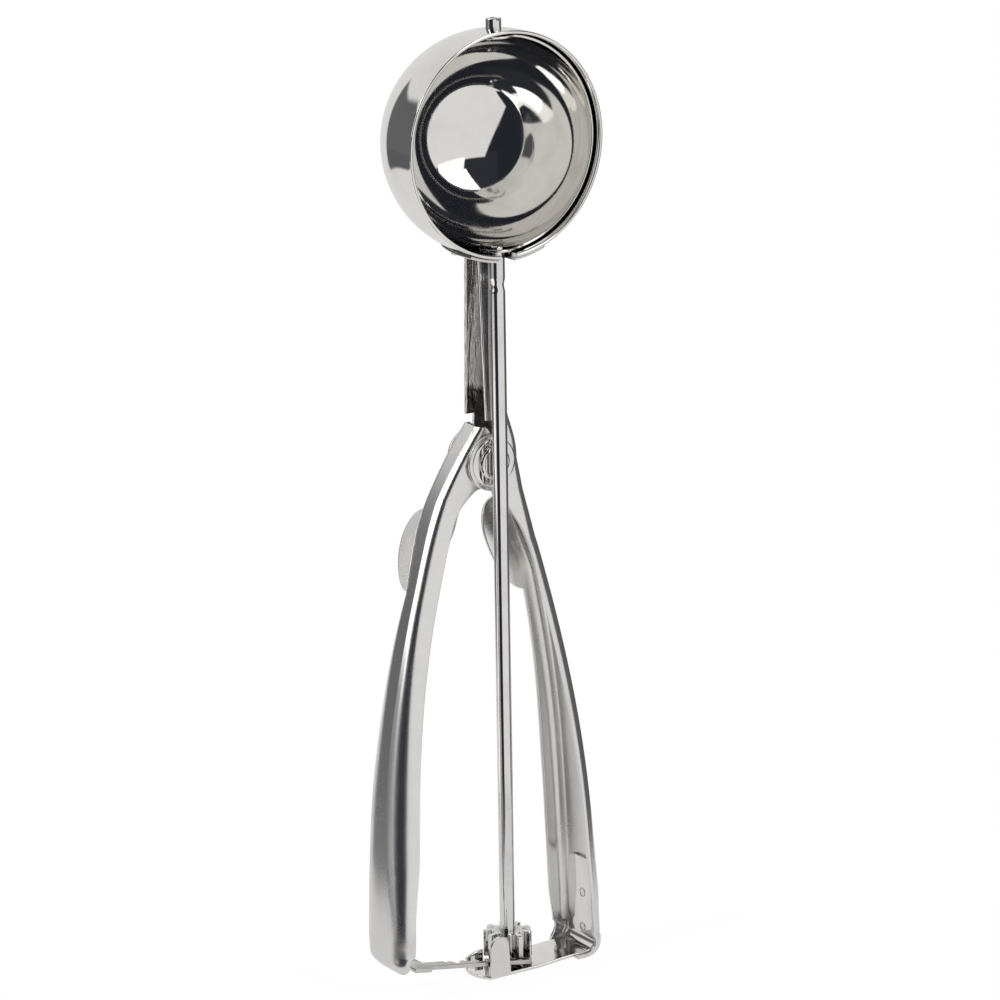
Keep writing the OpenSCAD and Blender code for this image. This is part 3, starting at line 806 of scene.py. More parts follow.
class SurfaceGroups:
    """Shader node groups that the steels share, each built once."""

    made: dict[str, Any] = {}

    @classmethod
    def start(cls, name: str, inputs: dict[str, tuple[str, Any]], outputs: Sequence[str]) -> tuple[Any, NodePad, Any]:
        """Starts a group.

        Args:
            name: The group's name.
            inputs: Socket type and default by input name.
            outputs: Names of the outputs, which are all floats.

        Returns:
            The tree, a pad on it, and its group input node.
        """
        tree = bpy.data.node_groups.new(name, "ShaderNodeTree")
        for label, (kind, default) in inputs.items():
            socket = tree.interface.new_socket(label, in_out="INPUT", socket_type=kind)
            if default is not None:
                socket.default_value = default
        for label in outputs:
            tree.interface.new_socket(label, in_out="OUTPUT", socket_type="NodeSocketFloat")
        cls.made[name] = tree
        pad = NodePad(tree)
        return tree, pad, pad.add("NodeGroupInput")

    @classmethod
    def brushed(cls) -> Any:
        """Fine parallel lines left by a brush or a drawing die.

        Returns:
            A group from Vector, Lines and Stretch to Height and Tone.
        """
        name = "BrushedLines"
        if name in cls.made:
            return cls.made[name]
        inputs = {
            "Vector": ("NodeSocketVector", None),
            "Lines": ("NodeSocketFloat", 4000.0),
            "Stretch": ("NodeSocketVector", (1.0, 1.0, 1.0)),
        }
        _, pad, entry = cls.start(name, inputs, ["Height", "Tone"])
        squeezed = pad.vector("MULTIPLY", entry.outputs["Vector"], entry.outputs["Stretch"])
        fine = pad.noise(squeezed, entry.outputs["Lines"], 2.0, 0.6)
        wide = pad.noise(squeezed, pad.math("MULTIPLY", entry.outputs["Lines"], 0.12), 3.0)
        height = pad.math("ADD", pad.math("MULTIPLY", fine.outputs[0], 0.7), pad.math("MULTIPLY", wide.outputs[0], 0.3))
        pad.add("NodeGroupOutput", {"Height": height, "Tone": wide.outputs[0]})
        return cls.made[name]

    @classmethod
    def handling(cls) -> Any:
        """Smudges, fine hairline scratches and a slight waviness of pressed sheet.

        Returns:
            A group from Vector to Smudge, Scratch and Wave.
        """
        name = "HandlingMarks"
        if name in cls.made:
            return cls.made[name]
        inputs = {
            "Vector": ("NodeSocketVector", None),
            "Wave Scale": ("NodeSocketFloat", 60.0),
            "Scratch Scale": ("NodeSocketFloat", 260.0),
        }
        _, pad, entry = cls.start(name, inputs, ["Smudge", "Scratch", "Wave"])
        vector = entry.outputs["Vector"]
        smudge = pad.ramp(pad.noise(vector, 90.0, 4.0, 0.6).outputs[0], 0.42, 0.72, curve="SMOOTHSTEP")
        # Scratches are the edges of bent cells, kept only in scattered patches.
        bent = pad.vector("MULTIPLY", pad.noise(vector, 35.0, 1.0).outputs["Color"], [0.012] * 3)
        lines = pad.add(
            "ShaderNodeTexVoronoi",
            {"Vector": pad.vector("ADD", vector, bent), "Scale": entry.outputs["Scratch Scale"]},
            feature="DISTANCE_TO_EDGE",
        )
        thin = pad.ramp(lines.outputs[0], 0.0, 0.012, 1.0, 0.0)
        kept = pad.ramp(pad.noise(vector, 140.0, 1.0).outputs[0], 0.55, 0.7)
        scratch = pad.math("MULTIPLY", thin, kept)
        wave = pad.noise(vector, entry.outputs["Wave Scale"], 0.0).outputs[0]
        pad.add("NodeGroupOutput", {"Smudge": smudge, "Scratch": scratch, "Wave": wave})
        return cls.made[name]


@dataclass(frozen=True)
class SteelFinish:
    """One finish of stainless steel.

    Attributes:
        name: The material's name.
        tone: Base colour of the clean metal.
        film: Base colour where the surface is smudged.
        gloss: Roughness of the clean metal.
        haze: Roughness where the surface is smudged.
        lines: Brushed lines per metre, or 0 for a polished finish.
        stretch: Scale of the lines along X, Y and Z.
        line_depth: Depth of the lines, in millimetres.
        wave_depth: Depth of the slow waves in the sheet, in millimetres.
        wave_scale: Slow waves per metre.
        scratch_depth: Depth of hairline scratches, in millimetres.
        recess_shade: Share of the tone that is left deep in narrow recesses, as painted shade.
        recess_shade_w: Width of the recesses that take painted shade, in millimetres.
        polish_above: Height in metres over which the metal is polished and streaked along Z,
        or 0 for nowhere. The painted recess shade then falls only there.
        polish_fade: Half the height in which the polish sets in, in metres.
        polished: Roughness of the polished part.
        streaks: Streaks per metre in the polished part.
        streak_depth: Depth of the streaks, in millimetres.
    """

    name: str
    tone: tuple[float, float, float]
    film: tuple[float, float, float]
    gloss: float
    haze: float
    lines: float = 0.0
    stretch: tuple[float, float, float] = (1.0, 1.0, 1.0)
    line_depth: float = 0.0
    wave_depth: float = 0.004
    wave_scale: float = 60.0
    scratch_depth: float = 0.001
    recess_shade: float = 1.0
    recess_shade_w: float = 2.0
    polish_above: float = 0.0
    polish_fade: float = 0.004
    polished: float = 0.08
    streaks: float = 900.0
    streak_depth: float = 0.3

    def material(self) -> bpy.types.Material:
        """Builds the material, or returns the one already built.

        Returns:
            The material.
        """
        if self.name in bpy.data.materials:
            return bpy.data.materials[self.name]
        material = bpy.data.materials.new(self.name)
        material.use_nodes = True
        tree = material.node_tree
        tree.nodes.clear()
        pad = NodePad(tree)
        place = pad.add("ShaderNodeTexCoord").outputs["Object"]
        marks = pad.group(SurfaceGroups.handling(), {"Vector": place, "Wave Scale": self.wave_scale})
        height = pad.math("MULTIPLY", marks.outputs["Wave"], self.wave_depth)
        height = pad.math("SUBTRACT", height, pad.math("MULTIPLY", marks.outputs["Scratch"], self.scratch_depth))
        blend = marks.outputs["Smudge"]
        if self.lines:
            brush = {"Vector": place, "Lines": self.lines, "Stretch": self.stretch}
            grain = pad.group(SurfaceGroups.brushed(), brush)
            height = pad.math("ADD", height, pad.math("MULTIPLY", grain.outputs["Height"], self.line_depth))
            blend = pad.math("MULTIPLY", pad.math("ADD", blend, grain.outputs["Tone"]), 0.5)
        colour = pad.add("ShaderNodeMix", {0: blend, 6: (*self.tone, 1), 7: (*self.film, 1)}, data_type="RGBA")
        paint = colour.outputs[2]
        above: Any = 1.0
        if self.polish_above:
            rise = pad.add("ShaderNodeSeparateXYZ", {0: place}).outputs[2]
            low, high = self.polish_above - self.polish_fade, self.polish_above + self.polish_fade
            above = pad.ramp(rise, low, high)
        # Painted shade: ambient occlusion darkens the base colour in narrow recesses, where shade falls.
        if self.recess_shade < 1:
            ao_shade = pad.add("ShaderNodeAmbientOcclusion", {"Distance": self.recess_shade_w * MM}, samples=6)
            left = pad.blend(above, 1.0, pad.ramp(ao_shade.outputs["AO"], 0.2, 1.0, self.recess_shade))
            paint = pad.vector("MULTIPLY", paint, left)
        rough = pad.ramp(blend, 0.0, 1.0, self.gloss, self.haze)
        if self.polish_above:
            rough = pad.blend(above, rough, self.polished)
            brush = {"Vector": place, "Lines": self.streaks, "Stretch": (1.0, 1.0, 0.02)}
            drawn = pad.group(SurfaceGroups.brushed(), brush)
            streak = pad.math("MULTIPLY", pad.math("MULTIPLY", drawn.outputs["Height"], self.streak_depth), above)
            height = pad.math("ADD", height, streak)
        bump = pad.add("ShaderNodeBump", {"Height": height, "Strength": 1.0, "Distance": MM})
        steel = pad.add(
            "ShaderNodeBsdfPrincipled",
            {
                "Base Color": paint,
                "Metallic": 1.0,
                "Roughness": rough,
                "Normal": bump.outputs[0],
            },
        )
        pad.add("ShaderNodeOutputMaterial", {"Surface": steel.outputs[0]})
        return material


class Steel(Enum):
    """The finishes on this scoop."""

    MIRROR = SteelFinish("mirror_steel", (0.80, 0.79, 0.77), (0.74, 0.73, 0.70), 0.035, 0.09, wave_depth=0.006)
    SATIN = SteelFinish(
        "satin_sheet",
        (0.81, 0.80, 0.785),
        (0.74, 0.73, 0.715),
        0.23,
        0.31,
        lines=900.0,
        stretch=(1.0, 1.0, 9.0),
        line_depth=0.004,
        wave_depth=0.02,
        wave_scale=45.0,
        # Painted shade darkens the channel's inside above the polish line.
        recess_shade=0.06,
        recess_shade_w=4.0,
        polish_above=0.129,
    )
    PRESSED = SteelFinish("pressed_sheet", (0.82, 0.81, 0.79), (0.74, 0.73, 0.71), 0.06, 0.12, wave_depth=0.01)
    DRAWN = SteelFinish("drawn_steel", (0.80, 0.79, 0.78), (0.70, 0.69, 0.68), 0.06, 0.16, wave_depth=0.002)
    CUT = SteelFinish(
        "cut_steel",
        (0.70, 0.69, 0.67),
        (0.55, 0.54, 0.52),
        0.08,
        0.22,
        lines=2500.0,
        stretch=(6.0, 1.0, 1.0),
        line_depth=0.003,
        wave_depth=0.004,
        # Painted shade in the cut steel's narrow recesses.
        recess_shade=0.25,
    )
    # The gear steel takes painted shade in its gullets.
    GEAR = SteelFinish("gear_steel", (0.82, 0.81, 0.79), (0.66, 0.65, 0.63), 0.05, 0.12, recess_shade=0.12)
    WIRE = SteelFinish("spring_wire", (0.46, 0.45, 0.44), (0.34, 0.33, 0.32), 0.20, 0.34)


@dataclass
class Assembly:
    """A sub-assembly that rides on one body.

    Attributes:
        sizes: The scoop's shared sizes.
    """

    sizes: Sizes

    body = Body.HANDLE

    def dress(self, obj: bpy.types.Object, steel: Steel, slot: Slot, *nodes: str) -> bpy.types.Object:
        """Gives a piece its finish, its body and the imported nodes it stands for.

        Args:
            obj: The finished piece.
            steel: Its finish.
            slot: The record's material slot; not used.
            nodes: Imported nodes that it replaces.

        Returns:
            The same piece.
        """
        obj.data.materials.clear()
        obj.data.materials.append(steel.value.material())
        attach(obj, self.body.value)
        if nodes:
            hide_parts(*nodes)
        LOG.info("%s: %d faces on %s", obj.name, len(obj.data.polygons), self.body.value)
        return obj


# ----------------------------------------------------------- form of the handles


@dataclass(frozen=True)
class CornerStyle:
    """How a channel's front corner is pressed: two bends with a flat between them.

    Attributes:
        lean: Turn of the flat from the channel's back.
        first: Radius of the bend beside the back, as a share of the corner's size.
        flat: Length of the flat, as a share of the corner's size.
        last: Radius of the bend beside the flange, as a share of the corner's size.
    """

    lean: float
    first: float
    flat: float
    last: float

    @property
    def depth(self) -> float:
        """Depth of the whole corner as a share of its size."""
        return self.first * (1 - cos(self.lean)) + self.flat * sin(self.lean) + self.last * cos(self.lean)

    @property
    def width(self) -> float:
        """Width of the whole corner as a share of its size."""
        return self.first * sin(self.lean) + self.flat * cos(self.lean) + self.last * (1 - sin(self.lean))


FIXED_CORNER = CornerStyle(60.0, 0.9, 0.3, 0.7)
CROWN_TURN = 33.0
CROWN_LIFT = 0.25


def lever_corner(z: float) -> CornerStyle:
    """Forms the lever's front corner: a crease at the top that fades to a round bend.

    Args:
        z: Height above the foot.

    Returns:
        The corner's form, with no crease at 38 mm, a full one at 96 and a wide one at 114.
    """
    t = smooth((z - 38) / 58)
    wide = 0.25 * smooth((z - 98) / 16)
    return CornerStyle(mix(7, 23, t), 0.4, mix(0.3, 0.45, t) + wide, mix(2.3, 1.1, t))


@dataclass(frozen=True)
class HandleForm:
    """The shape that both handles share, as functions of the height above the foot."""

    sizes: Sizes
    neck_x: float = 4.3
    shoulder_x: float = 7.7
    bow: float = 12.9
    lever_reach: float = 36.0
    lever_ease: float = 46.0
    foot_front: float = 10.0
    grip_back: float = 7.0
    foot_back: float = 5.0
    bend_z: float = 15.0
    front_depth: float = 3.6
    back_depth: float = 5.6
    lever_depth: float = 5.6
    lobe_depth: float = 6.2
    lobe_half: float = 10.8
    ear_r: float = 6.7
    lever_ear_r: float = 6.0

    @property
    def flat_low(self) -> float:
        """Height at which the faces start to slope."""
        return self.sizes.pivot_z - 8

    @property
    def waist(self) -> float:
        """Height below which the channel keeps its width."""
        return self.sizes.pivot_z - 29

    @property
    def notch(self) -> float:
        """Height of the step under the neck."""
        return self.sizes.pivot_z + self.ear_r + 3.2

    @property
    def neck_top(self) -> float:
        """Height at which the neck has gone into the saddle."""
        return self.sizes.pivot_z + self.sizes.neck_len + 3

    @property
    def lever_top(self) -> float:
        """Height of the lever's upper end."""
        return self.sizes.pivot_z + 8.1

    def front(self, z: float) -> float:
        """Returns Y of the front face."""
        t = clamp01((self.flat_low - z) / (self.flat_low - self.bend_z))
        return mix(self.sizes.front_y, -self.foot_front, t)

    def back(self, z: float) -> float:
        """Follows the back face.

        Args:
            z: Height above the foot.

        Returns:
            Y of the face.
        """
        s = self.sizes
        if z > s.pivot_z + 7:
            return mix(s.ear_back_y, s.front_y + 5.7, clamp01((z - s.pivot_z - 7) / (s.neck_len - 7)))
        if z > self.waist:
            t = smooth((z - self.waist) / (self.flat_low - self.waist))
            return mix(self.grip_back + 0.4, s.ear_back_y, t)
        return mix(self.foot_back, self.grip_back + 0.4, smooth(z / 50))

    def corner_r(self, z: float) -> float:
        """Returns the outer radius of the channel's corners."""
        return mix(2.4, 1.5, clamp01((z - 60) / 60))

    def fixed_corner(self, z: float) -> float:
        """Returns the size of the fixed handle's corners."""
        return mix(3.5, 1.8, clamp01((z - 100) / 24))

    def fixed_x(self, z: float) -> float:
        """Follows the fixed handle's web.

        Args:
            z: Height above the foot.

        Returns:
            X of the web.
        """
        p = self.sizes.pivot_z
        if z > p:
            return mix(self.shoulder_x, self.neck_x, smooth((z - p) / 16))
        return self.shoulder_x + self.bow * sin(90 * min(1, (p - z) / (0.72 * p)))

    def fixed_depths(self, z: float) -> tuple[float, float]:
        """Follows the fixed handle's flanges.

        Args:
            z: Height above the foot.

        Returns:
            Depths of the front and back flanges.
        """
        s = self.sizes
        x = self.fixed_x(z)
        if z > self.notch:
            rise = clamp01((z - self.notch) / (self.neck_top - self.notch))
            return x + mix(1.4, 2.9, rise), x + mix(1.5, 3.2, rise)
        if z > self.flat_low:
            front, back = x - 1.6, x - 0.8
        else:
            front = self.front_depth + 3.4 * smooth((z - s.pivot_z + 26) / 19) ** 2 - 0.5 * smooth((12 - z) / 7)
            back = self.back_depth - smooth((z - 45) / 40) - 0.8 * smooth((14 - z) / 9)
            back += self.lobe_depth * hump(z, s.pivot_z - 21.5, self.lobe_half)
        rise = z - s.pivot_z
        if abs(rise) < self.ear_r:
            ear = x - s.pivot_x + math.sqrt(self.ear_r**2 - rise**2)
            front, back = max(front, ear), max(back, ear)
        return front, back

    def lever_x(self, z: float) -> float:
        """Returns the distance of the lever's web towards -X."""
        return 2.5 + self.lever_reach * (1 - math.exp((z - self.lever_top) / self.lever_ease))

    def lever_faces(self, z: float) -> tuple[float, float]:
        """Follows the lever's faces, which nest inside the fixed handle's.

        Args:
            z: Height above the foot.

        Returns:
            Y of the front and back faces.
        """
        s = self.sizes
        nest = (s.sheet + s.ear_gap) * smooth((z - self.waist) / (self.flat_low - self.waist))
        return self.front(z) + nest, self.back(min(z, s.pivot_z)) - nest

    def lever_depths(self, z: float) -> tuple[float, float]:
        """Follows the lever's flanges.

        Args:
            z: Height above the foot.

        Returns:
            Depths of the front and back flanges.
        """
        s = self.sizes
        top = 1.9 + 1.6 * (self.lever_top - z)
        foot = self.lever_depth - 1.5 * smooth((34 - z) / 18)
        reach = self.lever_x(z)
        if z > s.pivot_z:
            front = min(top, reach + 1)
        else:
            rise = foot + 0.8 * smooth((z - s.pivot_z + 13) / 5)
            front = min(reach + 1, rise + 6 * smooth((z - s.pivot_z + 9.2) / 5) ** 2)
        if z > self.flat_low:
            back = min(top, reach + 1.4)
        else:
            back = foot + 5.4 * smooth((z - self.waist) / 14) + 3.1 * smooth((z - self.flat_low + 5) / 6)
        rise = z - s.pivot_z
        if abs(rise) < self.lever_ear_r:
            ear = reach + s.pivot_x + math.sqrt(self.lever_ear_r**2 - rise**2)
            front, back = max(front, ear), max(back, ear)
        return front, back

    def crown(self, z: float) -> float:
        """Returns how much rounder the lever's back is than its corners, as a radius."""
        return 9.5 * smooth((self.waist + 2 - z) / 45)

    def section(
        self,
        faces: tuple[float, float],
        depths: tuple[float, float],
        r: float,
        style: CornerStyle,
        crown: float = 0.0,
    ) -> np.ndarray:
        """Draws the middle line of one channel section.

        Args:
            faces: Y of the front and back outer faces.
            depths: Depths of the front and back flanges.
            r: Size of the front corner and outer radius of the back one.
            style: Form of the front corner.
            crown: Extra radius of the first third of the back corner.

        Returns:
            Points as (depth from the back of the channel, Y).
        """
        half = self.sizes.sheet / 2
        yf, yb = faces
        yb += CROWN_LIFT * crown
        inner = r - half
        size = min(r, (depths[0] - 0.15) / style.depth)
        reach, width = size * style.depth, size * style.width
        last, first = size * style.last, size * style.first
        line = [(mix(depths[0], reach, k / 3), yf + half) for k in range(3)]
        bend = max(last - half, 0.04)
        line += [(reach - bend * cos(a), yf + half + bend - bend * sin(a)) for a in np.linspace(90, style.lean, 8)]
        bend = max(first - half, 0.04)
        turn = np.linspace(style.lean, 0, 6)
        start = (half + bend - bend * cos(turn[0]), yf + width - bend * sin(turn[0]))
        line += [(mix(line[-1][0], start[0], k / 4), mix(line[-1][1], start[1], k / 4)) for k in (0.3, 2, 3.7)]
        line += [(half + bend - bend * cos(a), yf + width - bend * sin(a)) for a in turn]
        sunk = crown * (1 - cos(CROWN_TURN))
        low = yb - r - crown * sin(CROWN_TURN)
        line += [(half, mix(yf + width, low, k / 6)) for k in range(1, 6)]
        big = inner + crown
        line += [(half + big - big * cos(a), low + big * sin(a)) for a in np.linspace(0, CROWN_TURN, 7)]
        line += [(r + sunk - inner * cos(a), yb - r + inner * sin(a)) for a in np.linspace(40, 90, 7)]
        line += [(mix(r + sunk, depths[1], k / 3), yb - half) for k in range(1, 4)]
        return np.array(line)

    def ear_heights(self, r: float) -> np.ndarray:
        """Returns heights spread evenly round an ear of radius r, from the top down."""
        return self.sizes.pivot_z + r * np.array([sin(a) for a in np.linspace(88, -88, 27)])


@dataclass(frozen=True)
class Heel:
    """The bend at a handle's lower end, fanned about a point.

    Attributes:
        radius: Outer radius of the bend.
        square: How far the bend is drawn out to a corner.
        turn: Angle that the bend covers.
        sign: +1 for the fixed handle and -1 for the lever.
        style: Form of the front corner.
        crown: Extra radius of the back corner where the bend starts.
        rim_left: Depth of the flanges where the bend ends.
    """

    radius: float
    square: float
    turn: float
    sign: int
    style: CornerStyle
    crown: float = 0.0
    rim_left: float = 1.3

    def reach(self, a: float) -> float:
        """Returns the distance of the outer face from the bend's centre at an angle."""
        return self.radius * (1 + self.square * sin(2 * a) ** 2)

    def rows(
        self, form: HandleForm, x0: float, z0: float, faces: tuple[float, float], depths: tuple[float, float]
    ) -> tuple[list[np.ndarray], list[tuple[float, float, float]]]:
        """Builds the rows of the bend.

        Args:
            form: The handles' form.
            x0: X of the bend's centre.
            z0: Z of the bend's centre.
            faces: Y of the front and back faces.
            depths: Depths of both flanges where the bend starts.

        Returns:
            The rows of points and the direction of travel at each.
        """
        rows, spine = [], []
        for a in np.linspace(0, self.turn, 15)[1:]:
            t = a / 90
            left = (mix(depths[0], self.rim_left, t), mix(depths[1], self.rim_left, t**3))
            line = form.section(faces, left, mix(2.4, 1.1, t), self.style, self.crown * (1 - t))
            out = self.reach(a) - line[:, 0]
            rows.append(np.stack([x0 + self.sign * out * cos(a), line[:, 1], z0 - out * sin(a)], 1))
            spine.append((-self.sign * sin(a), 0.0, -cos(a)))
        return rows, spine


# ------------------------------------------------------------------ assemblies


@dataclass
class BowlAssembly(Assembly):
    """The bowl and the saddle that carries it."""

    saddle_w: float = 20.0
    saddle_back: float = 9.5
    saddle_round: float = 3.0
    pin_hole_r: float = 1.8
    body = Body.HANDLE

    def slot_cutter(self) -> bpy.types.Object:
        """Makes the tool that cuts the rod's slot, open towards the rim.

        Returns:
            The cutting solid.
        """
        s = self.sizes
        r = s.slot_r
        arc = [(r * cos(a), r * sin(a)) for a in np.linspace(0, 180, 17)]
        outline = arc + [(-r, -s.band - 2), (r, -s.band - 2)]
        low = s.bowl_z - s.bowl_r - 6
        return prism("slot_cutter", *([(x, y, z) for x, y in outline] for z in (low, low + 12)))

    def bowl(self) -> None:
        """Builds the bowl: half a ball with a straight band and a rounded rim."""
        s = self.sizes
        outer, inner = s.bowl_r, s.bowl_r - s.bowl_wall
        lip = s.bowl_wall / 2
        profile = [(outer * sin(a), outer * cos(a)) for a in np.linspace(0, 90, 49)]
        profile += [(outer, h) for h in (-1.0, -2.5, -4.0)]
        profile += [
            (outer - lip + lip * cos(a), -s.band + lip * 0.8 - lip * 0.8 * sin(a)) for a in np.linspace(0, 180, 9)
        ]
        profile += [(inner, h) for h in (-4.0, -2.5, -1.0)]
        profile += [(inner * sin(a), inner * cos(a)) for a in np.linspace(90, 0, 49)]
        shell = revolve("bowl_shell", profile, along_y(0, s.bowl_z), 192)
        cut(shell, self.slot_cutter())
        hole = revolve(
            "pin_hole",
            [(0, 0), (self.pin_hole_r, 0), (self.pin_hole_r, s.bowl_r + 4), (0, s.bowl_r + 4)],
            at_z(s.bowl_z),
            32,
        )
        cut(shell, hole)
        self.dress(shell, Steel.MIRROR, Slot.POLISHED, "bowl")

    def saddle(self) -> None:
        """Builds the curved plate between the bowl and the neck."""
        s = self.sizes
        radius = s.bowl_r + s.saddle_t / 2
        half, r = self.saddle_w / 2, self.saddle_round
        rows = []
        for x in np.linspace(-half, half, 61):
            over = max(0.0, abs(x) - (half - r))
            back = self.saddle_back - r + math.sqrt(max(r * r - over * over, 0))
            row = []
            for y in np.linspace(-s.band + 0.8, back, 29):
                drop = math.sqrt(radius**2 - x * x - max(y, 0) ** 2)
                row.append((x, y, s.bowl_z - drop))
            rows.append(row)
        sheet = bent_sheet("saddle_plate", np.array(rows), s.saddle_t, rim=0.4)
        cut(sheet, self.slot_cutter())
        self.dress(sheet, Steel.SATIN, Slot.SATIN, "bowl_saddle")

    def welds(self) -> None:
        """Builds the spot welds under the saddle."""
        s = self.sizes
        reach = s.bowl_r + s.saddle_t
        spots = []
        for side in (-1, 1):
            down = Matrix.Rotation(math.radians(side * 17), 3, "Y") @ Matrix.Rotation(math.radians(10), 3, "X")
            spots.append(Vector((0, 0, s.bowl_z)) + down @ Vector((0, 0, -reach)))
        tree = SpotWelds("saddle_spots")
        welds = tree.run("saddle_spots", spots, (180, 0, 0), 1.3, 0.22, Steel.SATIN.value.material())
        self.dress(welds, Steel.SATIN, Slot.SATIN, "saddle_welds")

    def build(self) -> None:
        """Builds and dresses the bowl's pieces."""
        self.bowl()
        self.saddle()
        self.welds()


@dataclass
class FixedHandle(Assembly):
    """The handle with the neck, its ears and the heel that carries the foot."""

    heel_r: float = 5.2
    toe: float = 2.0
    toe_narrow: float = 2.4
    body = Body.HANDLE

    def heights(self, form: HandleForm) -> np.ndarray:
        """Returns the heights of the rows from the neck down to the heel."""
        s = self.sizes
        return np.concatenate(
            [
                np.linspace(form.neck_top, form.notch + 0.01, 26),
                np.linspace(form.notch - 0.02, s.pivot_z + form.ear_r + 0.05, 5),
                form.ear_heights(form.ear_r),
                np.linspace(s.pivot_z - form.ear_r - 0.05, form.waist - 4, 48),
                np.linspace(form.waist - 5.5, self.heel_r, 36),
            ]
        )

    def shell(self, form: HandleForm) -> None:
        """Builds the pressed channel from the saddle to the toe under the foot.

        Args:
            form: The handles' form.
        """
        s = self.sizes
        rows, spine = [], []
        for z in self.heights(form):
            faces = (form.front(z), form.back(z))
            line = form.section(faces, form.fixed_depths(z), form.fixed_corner(z), FIXED_CORNER)
            x = form.fixed_x(z)
            points = np.stack([x - line[:, 0], line[:, 1], np.full(len(line), z)], 1)
            ball = (s.bowl_r + s.saddle_t - 0.3) ** 2 - points[:, 0] ** 2 - points[:, 1] ** 2
            points[:, 2] = np.minimum(points[:, 2], s.bowl_z - np.sqrt(ball))
            rows.append(points)
            slope = form.fixed_x(z - 0.1) - form.fixed_x(z + 0.1)
            spine.append((slope / 0.2, 0.0, -1.0))
        z = self.heel_r
        heel = Heel(self.heel_r, 0.1, 90, 1, FIXED_CORNER)
        faces = (form.front(z), form.back(z))
        bend, travel = heel.rows(form, form.fixed_x(0) - z, z, faces, form.fixed_depths(z))
        rows += bend
        spine += travel
        middle = sum(faces) / 2
        for share in (0.35, 0.7, 1.0):
            end = bend[-1] - np.array([self.toe * share, 0, 0])
            far = end[:, 1] > middle
            end[far, 1] = middle + (end[far, 1] - middle) * (1 - share * self.toe_narrow / (faces[1] - middle))
            rows.append(end)
            spine.append((-1.0, 0.0, 0.0))
        obj = bent_sheet("fixed_handle_shell", np.array(rows), s.sheet, np.array(spine, float))
        self.dress(obj, Steel.SATIN, Slot.SATIN, "fixed_handle")

    def boss(self, form: HandleForm) -> None:
        """Builds the raised seat of the rivet's front head.

        Args:
            form: The handles' form.
        """
        s = self.sizes
        r = form.ear_r - 1.4
        skirt, top = r + 0.45, s.front_y - s.boss_t
        profile = rounded_profile(
            [
                (0, s.front_y + 0.2, 0),
                (skirt, s.front_y + 0.2, 0),
                (skirt, s.front_y - 0.02, 0.12),
                (r, top, 0.25),
                (r - 0.8, top, 0.2),
                (0, top, 0),
            ]
        )
        seat = revolve("rivet_seat", profile, along_y(s.pivot_x, s.pivot_z), 96)
        self.dress(seat, Steel.PRESSED, Slot.SATIN)

    def build(self) -> None:
        """Builds and dresses the fixed handle's pieces."""
        form = HandleForm(self.sizes)
        self.shell(form)
        self.boss(form)


@dataclass
class Pivot(Assembly):
    """The rivet, its sleeve and the return spring."""

    shank_r: float = 1.5
    head_r: float = 3.9
    head_t: float = 0.75
    dome_h: float = 2.3
    wire_r: float = 0.45
    coil_r: float = 3.2
    turns: float = 3.375
    body = Body.HANDLE

    def rivet(self) -> None:
        """Builds the rivet with a flat front head and a domed back head."""
        s = self.sizes
        seat = s.front_y - s.boss_t
        profile = rounded_profile(
            [
                (0, seat - self.head_t, 0),
                (self.head_r - 0.5, seat - self.head_t, 0.3),
                (self.head_r, seat - self.head_t * 0.45, 0.2),
                (self.head_r, seat, 0),
                (self.shank_r, seat, 0),
                (self.shank_r, s.ear_back_y, 0),
            ]
        )
        dome = self.head_r + 0.6
        profile += [(dome * cos(a), s.ear_back_y + self.dome_h * sin(a)) for a in np.linspace(0, 90, 13)]
        rivet = revolve("pivot_rivet_head", profile, along_y(s.pivot_x, s.pivot_z), 96)
        self.dress(rivet, Steel.PRESSED, Slot.POLISHED, "pivot_rivet")

    def sleeve(self) -> None:
        """Builds the sleeve that keeps the ears apart."""
        low, high = node_box("pivot_sleeve")
        inner, outer = self.shank_r, (high[0] - low[0]) / 2
        profile = [(inner, low[1]), (outer, low[1]), (outer, high[1]), (inner, high[1])]
        sleeve = revolve("pivot_sleeve_tube", profile, along_y(self.sizes.pivot_x, self.sizes.pivot_z), 48)
        self.dress(sleeve, Steel.CUT, Slot.SATIN, "pivot_sleeve")

    def coil_path(self) -> list[tuple[float, float, float]]:
        """Lays the wire's path from the leg on the fixed handle round the coil.

        Returns:
            Points of the wire's middle line.
        """
        s = self.sizes
        low, high = node_box("return_spring")
        start, end = low[1] + self.wire_r, high[1] - self.wire_r
        steps = 120
        path = [(high[0] - self.wire_r, start, low[2] + self.wire_r)]
        path.append((s.pivot_x + self.coil_r, start, s.pivot_z - 1.2))
        for k in range(steps + 1):
            a = 360 * self.turns * k / steps
            y = mix(start, end, k / steps)
            path.append((s.pivot_x + self.coil_r * cos(a), y, s.pivot_z + self.coil_r * sin(a)))
        return path

    def spring(self) -> None:
        """Builds the coil and its leg as one wire."""
        steel = Steel.WIRE.value.material()
        wire = WireSweep("spring_wire_sweep").run("return_spring_wire", self.coil_path(), self.wire_r, steel)
        self.dress(wire, Steel.WIRE, Slot.SPRING, "return_spring")

    def build(self) -> None:
        """Builds and dresses the pivot's pieces."""
        self.rivet()
        self.sleeve()
        self.spring()


